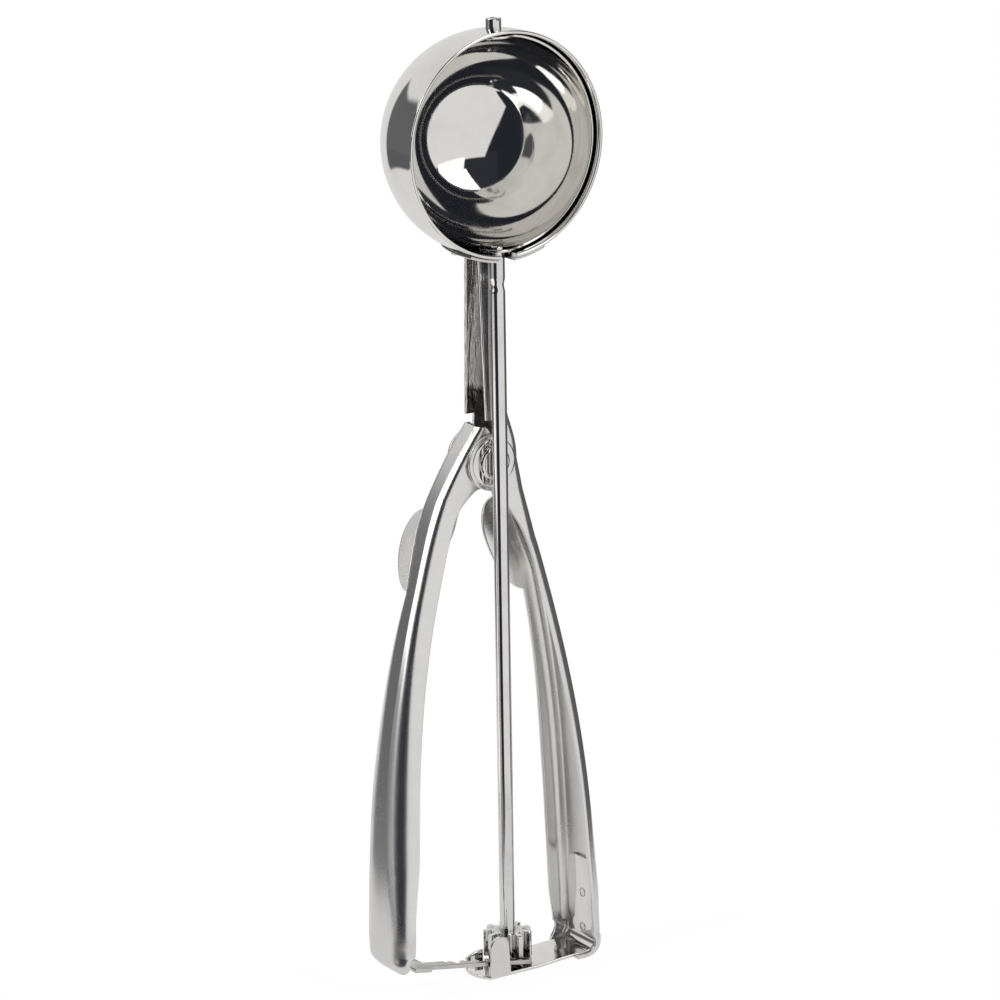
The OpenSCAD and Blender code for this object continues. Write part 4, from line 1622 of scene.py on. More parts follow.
@dataclass
class Foot(Assembly):
    """The bracket that carries the rod's lower end and guides the rack."""

    width: float = 11.1
    nose: float = 12.1
    nose_r: float = 8.5
    guard_x: float = -7.45
    guard_w: float = 5.1
    guard_y: float = 7.5
    guard_h: float = 9.9
    tab_h: float = 22.5
    tab_round: float = 3.0
    bend_r: float = 3.3
    rise_x: float = 2.0
    seat: float = 0.5
    lip_end: float = 5.5
    lip_h: float = 2.6
    body = Body.HANDLE

    @property
    def front(self) -> float:
        """Distance of the strip's front edge from the rod."""
        return self.guard_y + self.sizes.bracket_t

    def strip(self) -> None:
        """Builds the floor that rises over the heel and turns up into the tab."""
        s = self.sizes
        form = HandleForm(s)
        t = s.bracket_t
        tab_x = form.fixed_x(0) - s.sheet
        top_x = tab_x - 6.6
        bend_x, bend_z = tab_x - self.bend_r, self.seat + self.bend_r
        path = [(-self.nose + (self.rise_x + self.nose) * (k / 24) ** 1.6, t / 2) for k in range(24)]
        path += [(mix(self.rise_x, top_x, k / 10), mix(t / 2, self.seat + t / 2, smooth(k / 10))) for k in range(10)]
        path += [(mix(top_x, bend_x, k / 4), self.seat + t / 2) for k in range(4)]
        arc = self.bend_r - t / 2
        path += [(bend_x + arc * sin(a), bend_z - arc * cos(a)) for a in np.linspace(0, 90, 13)]
        top = self.tab_h - self.tab_round
        path += [(tab_x - t / 2, z) for z in np.linspace(bend_z + 1, top, 8)]
        path += [(tab_x - t / 2, top + self.tab_round * sin(a)) for a in np.linspace(8, 89, 12)]
        middle = self.width / 2 - self.front
        rows = []
        for x, z in path:
            half = self.width / 2
            into = x - (self.nose_r - self.nose)
            if into < 0:
                half = min(half, math.sqrt(max(self.nose_r**2 - into**2, 0.04)))
            if z > top:
                half += math.sqrt(max(self.tab_round**2 - (z - top) ** 2, 0)) - self.tab_round
            rows.append([(x, middle + half * k / 8, z) for k in range(-8, 9)])
        sheet = bent_sheet("foot_strip", np.array(rows), t, rim=0.25)
        hole_r = s.rod_r - 0.45
        hole = revolve("foot_hole", [(0, -1), (hole_r, -1), (hole_r, 3), (0, 3)], at_z(0), 32)
        cut(sheet, hole)
        self.dress(sheet, Steel.PRESSED, Slot.POLISHED, "foot_bracket")

    def ear(self) -> None:
        """Builds the ear in front of the rack."""
        t = self.sizes.bracket_t
        r = self.guard_w / 2
        top = self.guard_h - r
        heights = [*np.linspace(0.4, top, 10), *(top + r * sin(a) for a in np.linspace(8, 89, 14))]
        rows = []
        for z in heights:
            half = r if z <= top else math.sqrt(max(r * r - (z - top) ** 2, 0))
            flare = 0.5 * clamp01(1 - z / top)
            left, right = self.guard_x - half, self.guard_x + half + flare
            rows.append([(mix(left, right, k / 12), -self.guard_y - t / 2, z) for k in range(13)])
        ear = bent_sheet("rack_guard_ear", np.array(rows), t, rim=0.25)
        self.dress(ear, Steel.SATIN, Slot.POLISHED)

    def lip(self) -> None:
        """Builds the lip that is turned up along the back edge."""
        t = self.sizes.bracket_t
        far = self.nose - 2
        full = self.lip_h + t
        y = self.width - self.front - t / 2
        rows = []
        for x in np.linspace(-far, -self.lip_end, 17):
            height = full * math.sqrt(max(1 - ((x + self.lip_end) / (1.7 * full)) ** 2, 0.02))
            rows.append([(x, y, mix(0.4, height, k / 6)) for k in range(7)])
        lip = bent_sheet("foot_back_lip", np.array(rows), t, rim=0.25)
        self.dress(lip, Steel.PRESSED, Slot.POLISHED)

    def welds(self) -> None:
        """Builds the spot welds on the tab."""
        low, high = node_box("bracket_welds")
        y = (low[1] + high[1]) / 2
        r = (high[1] - low[1]) / 2
        x = low[0] + 0.15
        spots = [(x, y, low[2] + r), (x, y, high[2] - r)]
        material = Steel.SATIN.value.material()
        welds = SpotWelds("bracket_spots").run("bracket_spots", spots, (0, -90, 0), r, 0.13, material)
        self.dress(welds, Steel.SATIN, Slot.SATIN, "bracket_welds")

    def build(self) -> None:
        """Builds and dresses the foot's pieces."""
        self.strip()
        self.ear()
        self.lip()
        self.welds()


@dataclass
class Lever(Assembly):
    """The squeezed handle with its thumb wing and the moving spring leg."""

    heel_r: float = 4.3
    heel_square: float = 0.2
    heel_turn: float = 60.0
    foot: float = 6.6
    wing_w: float = 4.3
    wing_half: float = 8.7
    wing_root: float = 1.4
    wing_start: float = -1.1
    wing_below: float = 18.7
    wing_t: float = 0.94
    leg_r: float = 0.45
    leg_inset: float = 0.32
    body = Body.LEVER

    @property
    def heel(self) -> Heel:
        """The bend at the lever's lower end."""
        crown = HandleForm(self.sizes).crown(0)
        return Heel(self.heel_r, self.heel_square, self.heel_turn, -1, lever_corner(0), crown)

    @property
    def heel_z(self) -> float:
        """Height of the bend's centre."""
        return self.foot + self.heel.reach(self.heel_turn) * sin(self.heel_turn)

    def corner_cutter(self, form: HandleForm) -> bpy.types.Object:
        """Makes the tool that cuts the lower back corner off slanting.

        Args:
            form: The handles' form.

        Returns:
            The cutting solid.
        """
        far, low = form.grip_back + 2, -5.0
        outline = [
            (far, self.foot + 9),
            (form.foot_back + 0.2, self.foot + 4.8),
            (form.foot_back - 2.5, self.foot + 2.2),
            (-1.0, self.foot + 0.7),
            (-4.0, self.foot - 0.2),
            (-4.0, low),
            (far, low),
        ]
        return prism("corner_cutter", *([(x, y, z) for y, z in outline] for x in (-60.0, 0.0)))

    def shell(self, form: HandleForm) -> None:
        """Builds the pressed channel from its top end to its heel.

        Args:
            form: The handles' form.
        """
        s = self.sizes
        heights = np.concatenate(
            [
                np.linspace(form.lever_top, s.pivot_z + form.lever_ear_r + 0.05, 6),
                form.ear_heights(form.lever_ear_r),
                np.linspace(s.pivot_z - form.lever_ear_r - 0.05, form.waist - 4, 46),
                np.linspace(form.waist - 5.5, self.heel_z, 34),
            ]
        )
        rows, spine = [], []
        for z in heights:
            style, crown = lever_corner(z), form.crown(z)
            line = form.section(form.lever_faces(z), form.lever_depths(z), form.corner_r(z), style, crown)
            rows.append(np.stack([line[:, 0] - form.lever_x(z), line[:, 1], np.full(len(line), z)], 1))
            slope = form.lever_x(z + 0.1) - form.lever_x(z - 0.1)
            spine.append((slope / 0.2, 0.0, -1.0))
        z = self.heel_z
        x0 = self.heel_r - form.lever_x(z)
        bend, travel = self.heel.rows(form, x0, z, form.lever_faces(z), form.lever_depths(z))
        obj = bent_sheet("lever_shell", np.array(rows + bend), s.sheet, np.array(spine + travel, float))
        cut(obj, self.corner_cutter(form))
        self.dress(obj, Steel.SATIN, Slot.SATIN, "lever_handle")

    def wing(self, form: HandleForm) -> None:
        """Builds the thumb wing that flares from the lever's back corner.

        Args:
            form: The handles' form.
        """
        out = np.array([-0.3, 0.954])
        middle = self.sizes.pivot_z - self.wing_below
        rows = []
        for z in np.linspace(middle + self.wing_half * 0.995, middle - self.wing_half * 0.995, 49):
            root = np.array([-form.lever_x(z), form.lever_faces(z)[1]])
            tip = self.wing_start + self.wing_w * hump(z, middle, self.wing_half)
            line = [root + mix(-self.wing_root, tip, k / 8) * out for k in range(9)]
            rows.append([(p[0], p[1], z) for p in line])
        travel = np.repeat([[0.0, 0.0, -1.0]], len(rows), 0)
        wing = bent_sheet("thumb_wing", np.array(rows), self.wing_t, travel, rim=0.35)
        self.dress(wing, Steel.SATIN, Slot.SATIN)

    def spring_leg(self) -> None:
        """Builds the spring's leg that bears on the lever."""
        low, high = node_box("lever_spring_leg")
        y = (low[1] + high[1]) / 2
        inset = self.leg_inset
        path = [(high[0] - inset, y, high[2] - inset), (low[0] + inset, y, low[2] + inset)]
        steel = Steel.WIRE.value.material()
        leg = WireSweep("leg_sweep").run("lever_spring_wire", path, self.leg_r, steel)
        self.dress(leg, Steel.WIRE, Slot.SPRING, "lever_spring_leg")

    def build(self) -> None:
        """Builds and dresses the lever's pieces."""
        form = HandleForm(self.sizes)
        self.shell(form)
        self.wing(form)
        self.spring_leg()


@dataclass
class Rack(Assembly):
    """The toothed rack and the tab that is welded into the lever."""

    rack_z: float = 3.35
    rack_t: float = 1.0
    back_w: float = 1.2
    tilt: float = 1.9
    teeth: int = 7
    tooth_up: float = 0.75
    tooth_down: float = 0.95
    stop_x: float = -10.8
    shoulder_w: float = 4.7
    foot_w: float = 1.6
    end_past: float = 2.3
    tab_w: float = 7.0
    tab_back: float = 2.0
    body = Body.LEVER

    @property
    def arm(self) -> float:
        """Distance of the rack's middle from the pivot."""
        return self.sizes.pivot_z - self.rack_z - self.rack_t / 2

    @property
    def tooth_angle(self) -> float:
        """Angle about the pivot between neighbouring teeth."""
        return 360 / self.sizes.pinion_teeth / (self.arm / self.sizes.pitch_r)

    @property
    def tip(self) -> float:
        """Distance of the teeth's tips from the rod's axis."""
        return self.sizes.pitch_r - self.tooth_up

    @property
    def root(self) -> float:
        """Distance of the teeth's roots from the rod's axis."""
        return self.sizes.pitch_r + self.tooth_down

    @property
    def place(self) -> Matrix:
        """The rack's place, from flat at the foot.

        Returns:
            The turn that tilts the rack and swings it open with the lever.
        """
        s = self.sizes
        pivot = Matrix.Translation((s.pivot_x, 0, s.pivot_z))
        swing = pivot @ Matrix.Rotation(math.radians(s.swing), 4, "Y") @ pivot.inverted()
        foot = Matrix.Translation((self.stop_x - self.shoulder_w, 0, self.rack_z))
        return swing @ foot @ Matrix.Rotation(math.radians(self.tilt), 4, "Y") @ foot.inverted()

    def tooth_x(self, i: int) -> float:
        """Returns X of a tooth with the lever squeezed."""
        return self.arm * math.tan(math.radians(self.sizes.swing + self.tooth_angle * (0.5 - i)))

    def strip(self) -> None:
        """Builds the rack's back strip, its wide foot and the web behind the first tooth."""
        front = self.root + self.back_w
        start = self.stop_x - self.shoulder_w
        end = self.arm * math.tan(math.radians(self.sizes.swing)) + self.end_past
        web = self.tooth_x(self.teeth - 1) - 1.6
        outline = [
            (start, -front - self.foot_w),
            (self.stop_x - 0.4, -front - self.foot_w),
            (self.stop_x, -front - self.foot_w + 0.4),
            (self.stop_x, -front),
            (end - 0.5, -front),
            (end, -front + 0.5),
            (end, -self.root),
            (web + 1.1, -self.root),
            (web, -self.tip),
            (self.stop_x, -self.tip),
            (self.stop_x - 0.3, -1),
            (start, -1),
        ]
        bar = plate("rack_strip", outline, self.rack_z, self.rack_z + self.rack_t, 0.14)
        turned(bar, self.place)
        self.dress(bar, Steel.CUT, Slot.POLISHED, "gear_rack")

    def tooth_row(self) -> None:
        """Builds the rack's teeth."""
        side = [(0.97, -self.root - 0.02), (0.5, -self.tip - 0.15), (0.32, -self.tip)]
        outline = [(-side[0][0], side[0][1]), *side, *((-x, y) for x, y in side[:0:-1])]
        tooth = plate("rack_teeth", outline, self.rack_z + 0.01, self.rack_z + self.rack_t - 0.01, 0.1)
        first = math.radians(self.sizes.swing + self.tooth_angle / 2)
        step = math.radians(self.tooth_angle)
        material = Steel.CUT.value.material()
        row = RackTeeth("rack_tooth_row").run(tooth, self.teeth, self.arm * MM, first, step, material)
        turned(row, self.place)
        self.dress(row, Steel.CUT, Slot.POLISHED)

    def tab(self, lever: Lever) -> None:
        """Builds the tab that lies in the lever's heel and up the inside of its back.

        Args:
            lever: The lever, whose heel the tab follows.
        """
        s = self.sizes
        form = HandleForm(s)
        heel = lever.heel
        inset = s.sheet + 0.02 + self.rack_t / 2
        x0 = lever.heel_r - form.lever_x(lever.heel_z)
        foot = self.place @ Vector((self.stop_x - self.shoulder_w + 0.5, 0, self.rack_z + self.rack_t / 2))
        path = [(foot.x, foot.z)]
        for a in np.linspace(lever.heel_turn, 0, 13):
            d = heel.reach(a) - inset
            path.append((x0 - d * cos(a), lever.heel_z - d * sin(a)))
        top = node_box("gear_rack")[1][2]
        path += [(inset - form.lever_x(z), z) for z in np.linspace(lever.heel_z + 1, top, 14)]
        middle = self.tab_back - self.tab_w / 2
        rows = []
        for x, z in path:
            half = self.tab_w / 2
            over = z - (top - 1.5)
            if over > 0:
                half += math.sqrt(max(1.5**2 - over**2, 0)) - 1.5
            rows.append([(x, middle + half * k / 6, z) for k in range(-6, 7)])
        sheet = bent_sheet("rack_tab", np.array(rows), self.rack_t, rim=0.25)
        self.dress(sheet, Steel.SATIN, Slot.POLISHED)

    def welds(self) -> None:
        """Builds the spot welds on the tab."""
        low, high = node_box("rack_welds")
        r = (high[1] - low[1]) / 2
        y = (low[1] + high[1]) / 2
        spots = [(low[0] + 0.1, y, high[2] - r), (high[0] - 0.1, y, low[2] + r)]
        material = Steel.SATIN.value.material()
        welds = SpotWelds("rack_spots").run("rack_spots", spots, (0, 90, 0), r, 0.16, material)
        self.dress(welds, Steel.SATIN, Slot.SATIN, "rack_welds")

    def build(self) -> None:
        """Builds and dresses the rack's pieces."""
        self.strip()
        self.tooth_row()
        self.tab(Lever(self.sizes))
        self.welds()


@dataclass
class Spindle(Assembly):
    """The drive rod with its pinion, and the scraper that it turns."""

    foot_spigot_r: float = 1.25
    groove_depth: float = 0.25
    tooth_up: float = 0.65
    gullet_in: float = 0.45
    gullet_r: float = 1.05
    gullet_flare: float = 0.9
    blade_w: float = 5.2
    pad_r: float = 4.3
    rest: float = 2.0
    burr_r: float = 1.5
    burr_t: float = 0.6
    pin_r: float = 1.75
    body = Body.SPINDLE

    @property
    def rod_end(self) -> float:
        """Height at which the rod meets the scraper's lower pad."""
        return self.sizes.bowl_z - self.sizes.blade_r

    def rod(self) -> None:
        """Builds the rod with its rolled groove and spigots."""
        s = self.sizes
        groove = s.pivot_z + s.neck_len - 6.6
        washer_low = node_box("thrust_washer")[0][2]
        r, waist = s.rod_r, s.rod_r - self.groove_depth
        profile = rounded_profile(
            [
                (0, 0.2, 0),
                (self.foot_spigot_r, 0.2, 0.1),
                (self.foot_spigot_r, washer_low, 0),
                (r, washer_low, 0.1),
                (r, groove - 0.7, 0.3),
                (waist, groove + 0.3, 0.3),
                (waist, groove + 1.2, 0.3),
                (r, groove + 2.2, 0.3),
                (r, self.rod_end, 0.15),
                (s.spigot_r, self.rod_end, 0),
                (s.spigot_r, s.rod_top + 1.2, 0.15),
                (0, s.rod_top + 1.2, 0),
            ]
        )
        rod = revolve("drive_rod_bar", profile, Matrix.Identity(4), 72)
        self.dress(rod, Steel.DRAWN, Slot.POLISHED, "drive_rod")

    def tooth_outline(self) -> list[tuple[float, float]]:
        """Draws one sector of the pinion's outline.

        Returns:
            Points from gullet to gullet.
        """
        half = 180 / self.sizes.pinion_teeth
        centre = self.sizes.pitch_r - self.gullet_in
        tip = self.sizes.pitch_r + self.tooth_up
        side = []
        for a in np.linspace(180, 90, 9):
            side.append((centre + self.gullet_r * cos(a), self.gullet_r * sin(a)))
        for x in np.linspace(centre, tip, 6)[1:]:
            side.append((x, self.gullet_r + self.gullet_flare * (x - centre) / 3))
        turned_side = [(x * cos(-half) - y * sin(-half), x * sin(-half) + y * cos(-half)) for x, y in side]
        turned_side = [(x, y) for x, y in turned_side if math.hypot(x, y) <= tip and y < -0.15]
        last = turned_side[-1]
        edge = math.degrees(math.atan2(last[1], last[0]))
        arc = [(tip * cos(a), tip * sin(a)) for a in np.linspace(edge * 0.9, -edge * 0.9, 7)]
        return turned_side + arc + [(x, -y) for x, y in turned_side[::-1]]

    def pinion(self) -> None:
        """Builds the pinion from one toothed sector."""
        s = self.sizes
        outline = self.tooth_outline()
        n = len(outline)
        half = 180 / s.pinion_teeth
        bore = [(s.rod_r * cos(a), s.rod_r * sin(a)) for a in np.linspace(-half, half, n)]
        low, high, edge = s.pinion_low, s.pinion_high, 0.16
        shrink = 1 - edge / s.pitch_r
        rings = [
            [(x, y, low) for x, y in bore],
            [(x * shrink, y * shrink, low) for x, y in outline],
            [(x, y, low + edge) for x, y in outline],
            [(x, y, high - edge) for x, y in outline],
            [(x * shrink, y * shrink, high) for x, y in outline],
            [(x, y, high) for x, y in bore],
        ]
        count = len(rings)
        faces: Faces = []
        for k in range(count):
            m = (k + 1) % count
            faces += [(k * n + i, k * n + i + 1, m * n + i + 1, m * n + i) for i in range(n - 1)]
        sector = new_object("pinion_gear", np.array([p for ring in rings for p in ring]), faces)
        gear = PolarRepeat("pinion_sectors").run(sector, s.pinion_teeth, Steel.GEAR.value.material())
        turned(gear, Matrix.Rotation(math.radians(-90 + 360 / s.pinion_teeth), 4, "Z"))
        shade(gear.data, 28)
        self.dress(gear, Steel.GEAR, Slot.POLISHED, "pinion")

    def washer(self) -> None:
        """Builds the washer under the pinion."""
        low, high = node_box("thrust_washer")
        r = (high[0] - low[0]) / 2
        profile = [
            (self.sizes.rod_r, low[2]),
            (r - 0.12, low[2]),
            (r, low[2] + 0.12),
            (r, high[2] - 0.12),
            (r - 0.12, high[2]),
            (self.sizes.rod_r, high[2]),
        ]
        washer = revolve("thrust_washer_ring", profile, Matrix.Identity(4), 64)
        self.dress(washer, Steel.CUT, Slot.POLISHED, "thrust_washer")

    def half_width(self, x: float) -> float:
        """Follows the blade's edge, pads included.

        Args:
            x: Distance from the axis, or less than 0 past it.

        Returns:
            Half the blade's width.
        """
        pad = math.sqrt(max(self.pad_r**2 - x * x, 0.0))
        if x < 0:
            return max(pad, 0.05)
        return max(self.blade_w / 2, pad) + 0.35 * hump(x, self.pad_r - 0.6, 1.6)

    def blade(self) -> None:
        """Builds the scraper: a band bent to the ball with a round pad at each end."""
        s = self.sizes
        radius = s.blade_r - s.blade_t / 2
        over = math.degrees(math.asin(self.pad_r / radius))
        fan = [over * math.sin(math.radians(a)) for a in np.linspace(-89, 0, 16)]
        angles = [*fan, *np.linspace(0, 180, 111)[1:-1], *(180 - a for a in fan[::-1])]
        rows = []
        for a in angles:
            half = self.half_width(radius * sin(a) if 0 <= a <= 180 else -abs(radius * sin(a)))
            row = []
            for k in range(-8, 9):
                y = half * k / 8
                r = math.sqrt(radius**2 - y * y)
                row.append((r * sin(a), y, s.bowl_z + r * cos(a)))
            rows.append(row)
        blade = bent_sheet("scraper_band", np.array(rows), s.blade_t, rim=0.22)
        turned(blade, Matrix.Rotation(math.radians(-self.rest), 4, "Z"))
        self.dress(blade, Steel.MIRROR, Slot.POLISHED, "scraper_blade")

    def top_pin(self) -> None:
        """Builds the pin above the bowl with the slot across its top."""
        s = self.sizes
        low = s.bowl_z + s.blade_r
        profile = rounded_profile(
            [
                (0, low - s.blade_t - self.burr_t, 0),
                (s.spigot_r, low - s.blade_t - self.burr_t, 0.1),
                (s.spigot_r, low, 0),
                (self.pin_r, low, 0),
                (self.pin_r, s.pin_top, 0.22),
                (0, s.pin_top, 0),
            ]
        )
        pin = revolve("scraper_pin", profile, Matrix.Identity(4), 48)
        r = self.pin_r + 1
        corners = [(-0.4, -r), (0.4, -r), (0.4, r), (-0.4, r)]
        slot = prism("pin_slot", *([(x, y, z) for x, y in corners] for z in (s.pin_top - 0.5, s.pin_top + 1)))
        cut(pin, slot, 0.08)
        self.dress(pin, Steel.DRAWN, Slot.POLISHED, "scraper_top_pin")

    def burrs(self) -> None:
        """Builds the rings riveted over on the spigots inside the pads."""
        for node, up in (("rod_burr", 1), ("pin_burr", -1)):
            low, high = node_box(node)
            base, top = (low[2], high[2]) if up > 0 else (high[2], low[2])
            profile = [
                (self.sizes.spigot_r, base),
                (self.burr_r, base),
                (self.burr_r, mix(base, top, 0.45)),
                (self.burr_r * 0.92, mix(base, top, 0.8)),
                (self.burr_r * 0.75, top),
                (self.sizes.spigot_r, mix(base, top, 0.92)),
            ]
            ring = revolve(f"{node}_ring", profile, Matrix.Identity(4), 40)
            self.dress(ring, Steel.DRAWN, Slot.POLISHED, node)

    def build(self) -> None:
        """Builds and dresses the spindle's pieces."""
        self.rod()
        self.pinion()
        self.washer()
        self.blade()
        self.top_pin()
        self.burrs()


# ----------------------------------------------------------------------- studio


@dataclass(frozen=True)
class Panel:
    """A lit or dark field of the studio, as the scoop sees it.

    Attributes:
        azimuth: Middle of the field, from -Y towards +X.
        elevation: Middle of the field above the horizon.
        half_width: Half its width.
        half_height: Half its height.
        tone: Its brightness.
        soft: Width of its soft edge.
        slant: How far it leans towards +X for each degree up.
    """

    azimuth: float
    elevation: float
    half_width: float
    half_height: float
    tone: float
    soft: float = 3.0
    slant: float = 0.0


@dataclass
class Studio:
    """Camera, lights, walls and floor."""

    sizes: Sizes
    view_azimuth: float = -33.255
    view_elevation: float = 15.113
    view_roll: float = -0.902
    view_distance: float = 1000.0
    target: tuple[float, float, float] = (-0.192, 0.0, 111.168)
    focal_px: float = 4417.37
    frame_px: float = 1000.0
    sensor: float = 36.0
    dome: float = 0.55
    floor_r: float = 122.0
    floor_gap: float = 0.05
    floor_paint: float = 0.12
    floor_white: float = 0.93
    floor_glow: float = 0.66
    floor_unlit: float = 0.03
    lamp_away: float = 1.6
    # A later panel lies over an earlier one.
    panels: tuple[Panel, ...] = (
        Panel(0, -72, 180, 42, 0.78, 14),  # table round the floor
        Panel(-170, 10, 46, 60, 0.80, 10),  # pale wall at the back
        Panel(-148.5, 2, 24.5, 18, 0.14, 4),  # dark board on that wall
        Panel(-148, -13, 23, 4, 0.12, 2),  # its lower edge
        Panel(-116, 24, 10, 40, 0.25, 6),  # grey curtain beside the left box
        Panel(-110, -30, 16, 17, 1.30, 3),  # bounce card, low on the left
        Panel(-51, 10, 34, 54, 0.02, 4),  # black flag, front left
        Panel(-91, -30, 7, 16, 0.80, 2),  # bounce strip under the left box
        Panel(-91, 3, 8, 15, 0.06, 3),  # black edge between strip and left box
        Panel(-100, 34, 8, 28, 2.4, 2),  # left box
        Panel(14, 54, 50, 34, 0.03, 4),  # black flag overhead
        Panel(95, 10, 33, 38, 0.10, 5),  # dark wall on the right
        Panel(16, -12, 49, 37, 0.84, 2.0, 0.468),  # large white card in front
        Panel(-83, -35.5, 20, 9, 0.02, 2, -0.63),  # black foot of the left side
        Panel(7, 44, 18, 21, 1.3, 2.0, 0.53),  # front box
    )

    def camera(self) -> None:
        """Places the camera."""
        a, e, roll = self.view_azimuth, self.view_elevation, self.view_roll
        back = Vector((sin(a) * cos(e), -cos(a) * cos(e), sin(e)))
        level = Vector((cos(a), sin(a), 0))
        rise = back.cross(level)
        right = level * cos(roll) + rise * sin(roll)
        up = rise * cos(roll) - level * sin(roll)
        turn = Matrix((right, up, back)).transposed().to_4x4()
        data = bpy.data.cameras.new("camera")
        data.sensor_width = self.sensor
        data.lens = self.focal_px * self.sensor / self.frame_px
        data.clip_start = 0.01
        data.clip_end = 50
        camera = bpy.data.objects.new("camera", data)
        eye = Vector(self.target) + back * self.view_distance
        camera.matrix_world = Matrix.Translation(eye * MM) @ turn
        bpy.context.scene.collection.objects.link(camera)
        bpy.context.scene.camera = camera

    def panel_group(self) -> Any:
        """Builds the node group that masks one field of the studio.

        Returns:
            A group from a direction's angles and a panel's sizes to Mask.
        """
        names = ("Azimuth", "Elevation", "Centre Az", "Centre El", "Half Width", "Half Height", "Soft", "Slant")
        inputs = {name: ("NodeSocketFloat", 0.0) for name in names}
        _, pad, entry = SurfaceGroups.start("StudioPanel", inputs, ["Mask"])
        get = entry.outputs
        lean = pad.math("MULTIPLY", get["Elevation"], get["Slant"])
        off = pad.math("SUBTRACT", pad.math("SUBTRACT", get["Azimuth"], lean), get["Centre Az"])
        wrapped = pad.math("WRAP", off, 180.0, -180.0)
        rise = pad.math("SUBTRACT", get["Elevation"], get["Centre El"])
        masks = []
        for distance, half in ((wrapped, get["Half Width"]), (rise, get["Half Height"])):
            inside = pad.math("SUBTRACT", half, pad.math("ABSOLUTE", distance))
            masks.append(pad.ramp(pad.math("DIVIDE", inside, get["Soft"]), -0.5, 0.5, curve="SMOOTHSTEP"))
        pad.add("NodeGroupOutput", {"Mask": pad.math("MULTIPLY", *masks)})
        return SurfaceGroups.made["StudioPanel"]

    def world(self) -> None:
        """Builds the studio that the metal reflects, and a white background."""
        world = bpy.data.worlds.new("studio")
        bpy.context.scene.world = world
        world.use_nodes = True
        tree = world.node_tree
        tree.nodes.clear()
        pad = NodePad(tree)
        direction = pad.add("ShaderNodeTexCoord").outputs["Generated"]
        parts = pad.add("ShaderNodeSeparateXYZ", {0: direction})
        x, y, z = parts.outputs
        azimuth = pad.math("DEGREES", pad.math("ARCTAN2", x, pad.math("MULTIPLY", y, -1.0)))
        elevation = pad.math("DEGREES", pad.math("ARCSINE", z))
        group = self.panel_group()
        tone: Any = self.dome
        for panel in self.panels:
            field = {
                "Azimuth": azimuth,
                "Elevation": elevation,
                "Centre Az": panel.azimuth,
                "Centre El": panel.elevation,
                "Half Width": panel.half_width,
                "Half Height": panel.half_height,
                "Soft": panel.soft,
                "Slant": panel.slant,
            }
            mask = pad.group(group, field)
            tone = pad.blend(mask.outputs[0], tone, panel.tone)
        rays = pad.add("ShaderNodeLightPath")
        plain = pad.math("MAXIMUM", rays.outputs["Is Camera Ray"], rays.outputs["Is Transmission Ray"])
        shown = pad.blend(plain, tone, 1.0)
        channels = [shown]
        for gain, lift in ((0.985, 0.003), (0.965, 0.012)):
            tinted = pad.math("MULTIPLY_ADD", shown, gain, lift)
            channels.append(pad.blend(plain, tinted, 1.0))
        level = pad.add("ShaderNodeCombineXYZ", dict(enumerate(channels)))
        light = pad.add("ShaderNodeBackground", {"Color": level.outputs[0], "Strength": 1.0})
        pad.add("ShaderNodeOutputWorld", {"Surface": light.outputs[0]})

    def floor(self) -> None:
        """Builds a pale floor that keeps a faint shadow of the scoop."""
        sides = 96
        ring = [360 * k / sides for k in range(sides)]
        points = np.array([(self.floor_r * cos(a), self.floor_r * sin(a), -self.floor_gap) for a in ring])
        floor = new_object("floor", points, [tuple(range(sides))])
        material = bpy.data.materials.new("pale_floor")
        material.use_nodes = True
        tree = material.node_tree
        tree.nodes.clear()
        pad = NodePad(tree)
        rays = pad.add("ShaderNodeLightPath")
        matt = pad.add("ShaderNodeBsdfDiffuse", {"Color": (*[self.floor_paint] * 3, 1)})
        seen = pad.math("MAXIMUM", rays.outputs["Is Camera Ray"], rays.outputs["Is Transmission Ray"])
        place = pad.add("ShaderNodeSeparateXYZ", {0: pad.add("ShaderNodeTexCoord").outputs["Object"]})
        # The metal sees no light from the floor's front left part; the edges are in metres.
        left, near = pad.ramp(place.outputs[0], -0.062, -0.074), pad.ramp(place.outputs[1], 0.03, 0.01)
        tone = pad.blend(pad.math("MULTIPLY", left, near), self.floor_glow, self.floor_unlit)
        glow = pad.math("MULTIPLY", rays.outputs["Is Glossy Ray"], tone)
        strength = pad.blend(seen, glow, self.floor_white)
        white = pad.add("ShaderNodeEmission", {"Color": (1, 1, 1, 1), "Strength": strength})
        both = pad.add("ShaderNodeAddShader", {0: matt.outputs[0], 1: white.outputs[0]})
        pad.add("ShaderNodeOutputMaterial", {"Surface": both.outputs[0]})
        floor.data.materials.append(material)
        floor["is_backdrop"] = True

    def lamp(self, name: str, azimuth: float, elevation: float, size: float, power: float) -> None:
        """Adds a soft square lamp that faces the scoop.

        Args:
            name: The lamp's name.
            azimuth: Its direction from -Y towards +X.
            elevation: Its height above the horizon.
            size: Its side in metres.
            power: Its power in watts.
        """
        data = bpy.data.lights.new(name, "AREA")
        data.size = size
        data.energy = power
        lamp = bpy.data.objects.new(name, data)
        away = Vector((sin(azimuth) * cos(elevation), -cos(azimuth) * cos(elevation), sin(elevation)))
        middle = Vector((0, 0, self.sizes.pivot_z * MM))
        lamp.location = middle + away * self.lamp_away
        lamp.rotation_euler = away.to_track_quat("Z", "Y").to_euler()
        bpy.context.scene.collection.objects.link(lamp)

    def build(self) -> None:
        """Builds the lights, walls and floor."""
        self.world()
        self.floor()
        self.lamp("left_box", -100, 34, 0.4, 1.2)
        self.lamp("front_box", 20, 50, 0.7, 3.0)
        scene = bpy.context.scene
        scene.view_settings.view_transform = "Standard"


def corners() -> list[list[float]]:
    """Returns the lowest and highest corners of everything that shows."""
    low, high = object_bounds()
    return [list(low), list(high)]


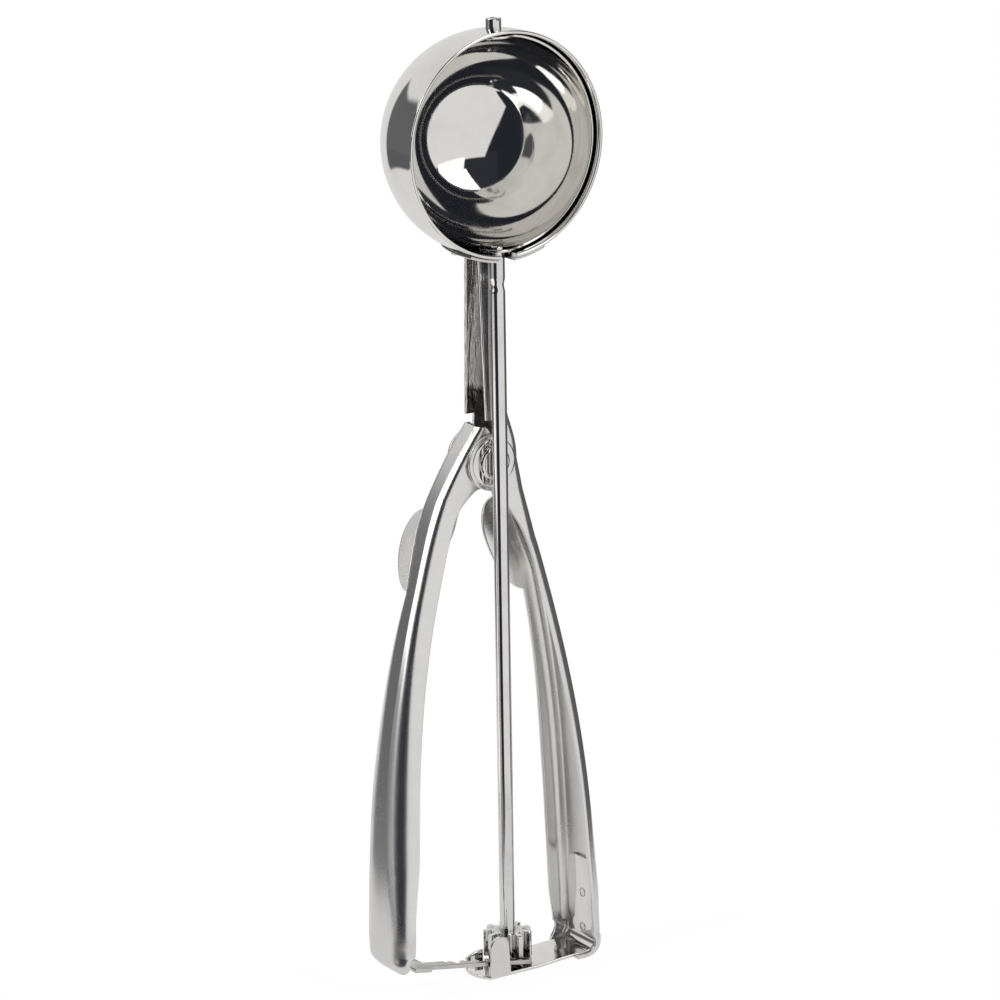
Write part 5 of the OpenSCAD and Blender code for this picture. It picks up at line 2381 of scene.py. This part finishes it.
def main() -> None:
    """Builds the scoop and its studio."""
    logging.basicConfig(level=logging.INFO, format="%(name)s: %(message)s")
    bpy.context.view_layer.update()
    sizes = Sizes.from_frame()
    studio = Studio(sizes)
    studio.camera()
    for assembly in (BowlAssembly, FixedHandle, Pivot, Foot, Lever, Rack, Spindle):
        assembly(sizes).build()
    studio.build()


if __name__ == "__main__":
    main()
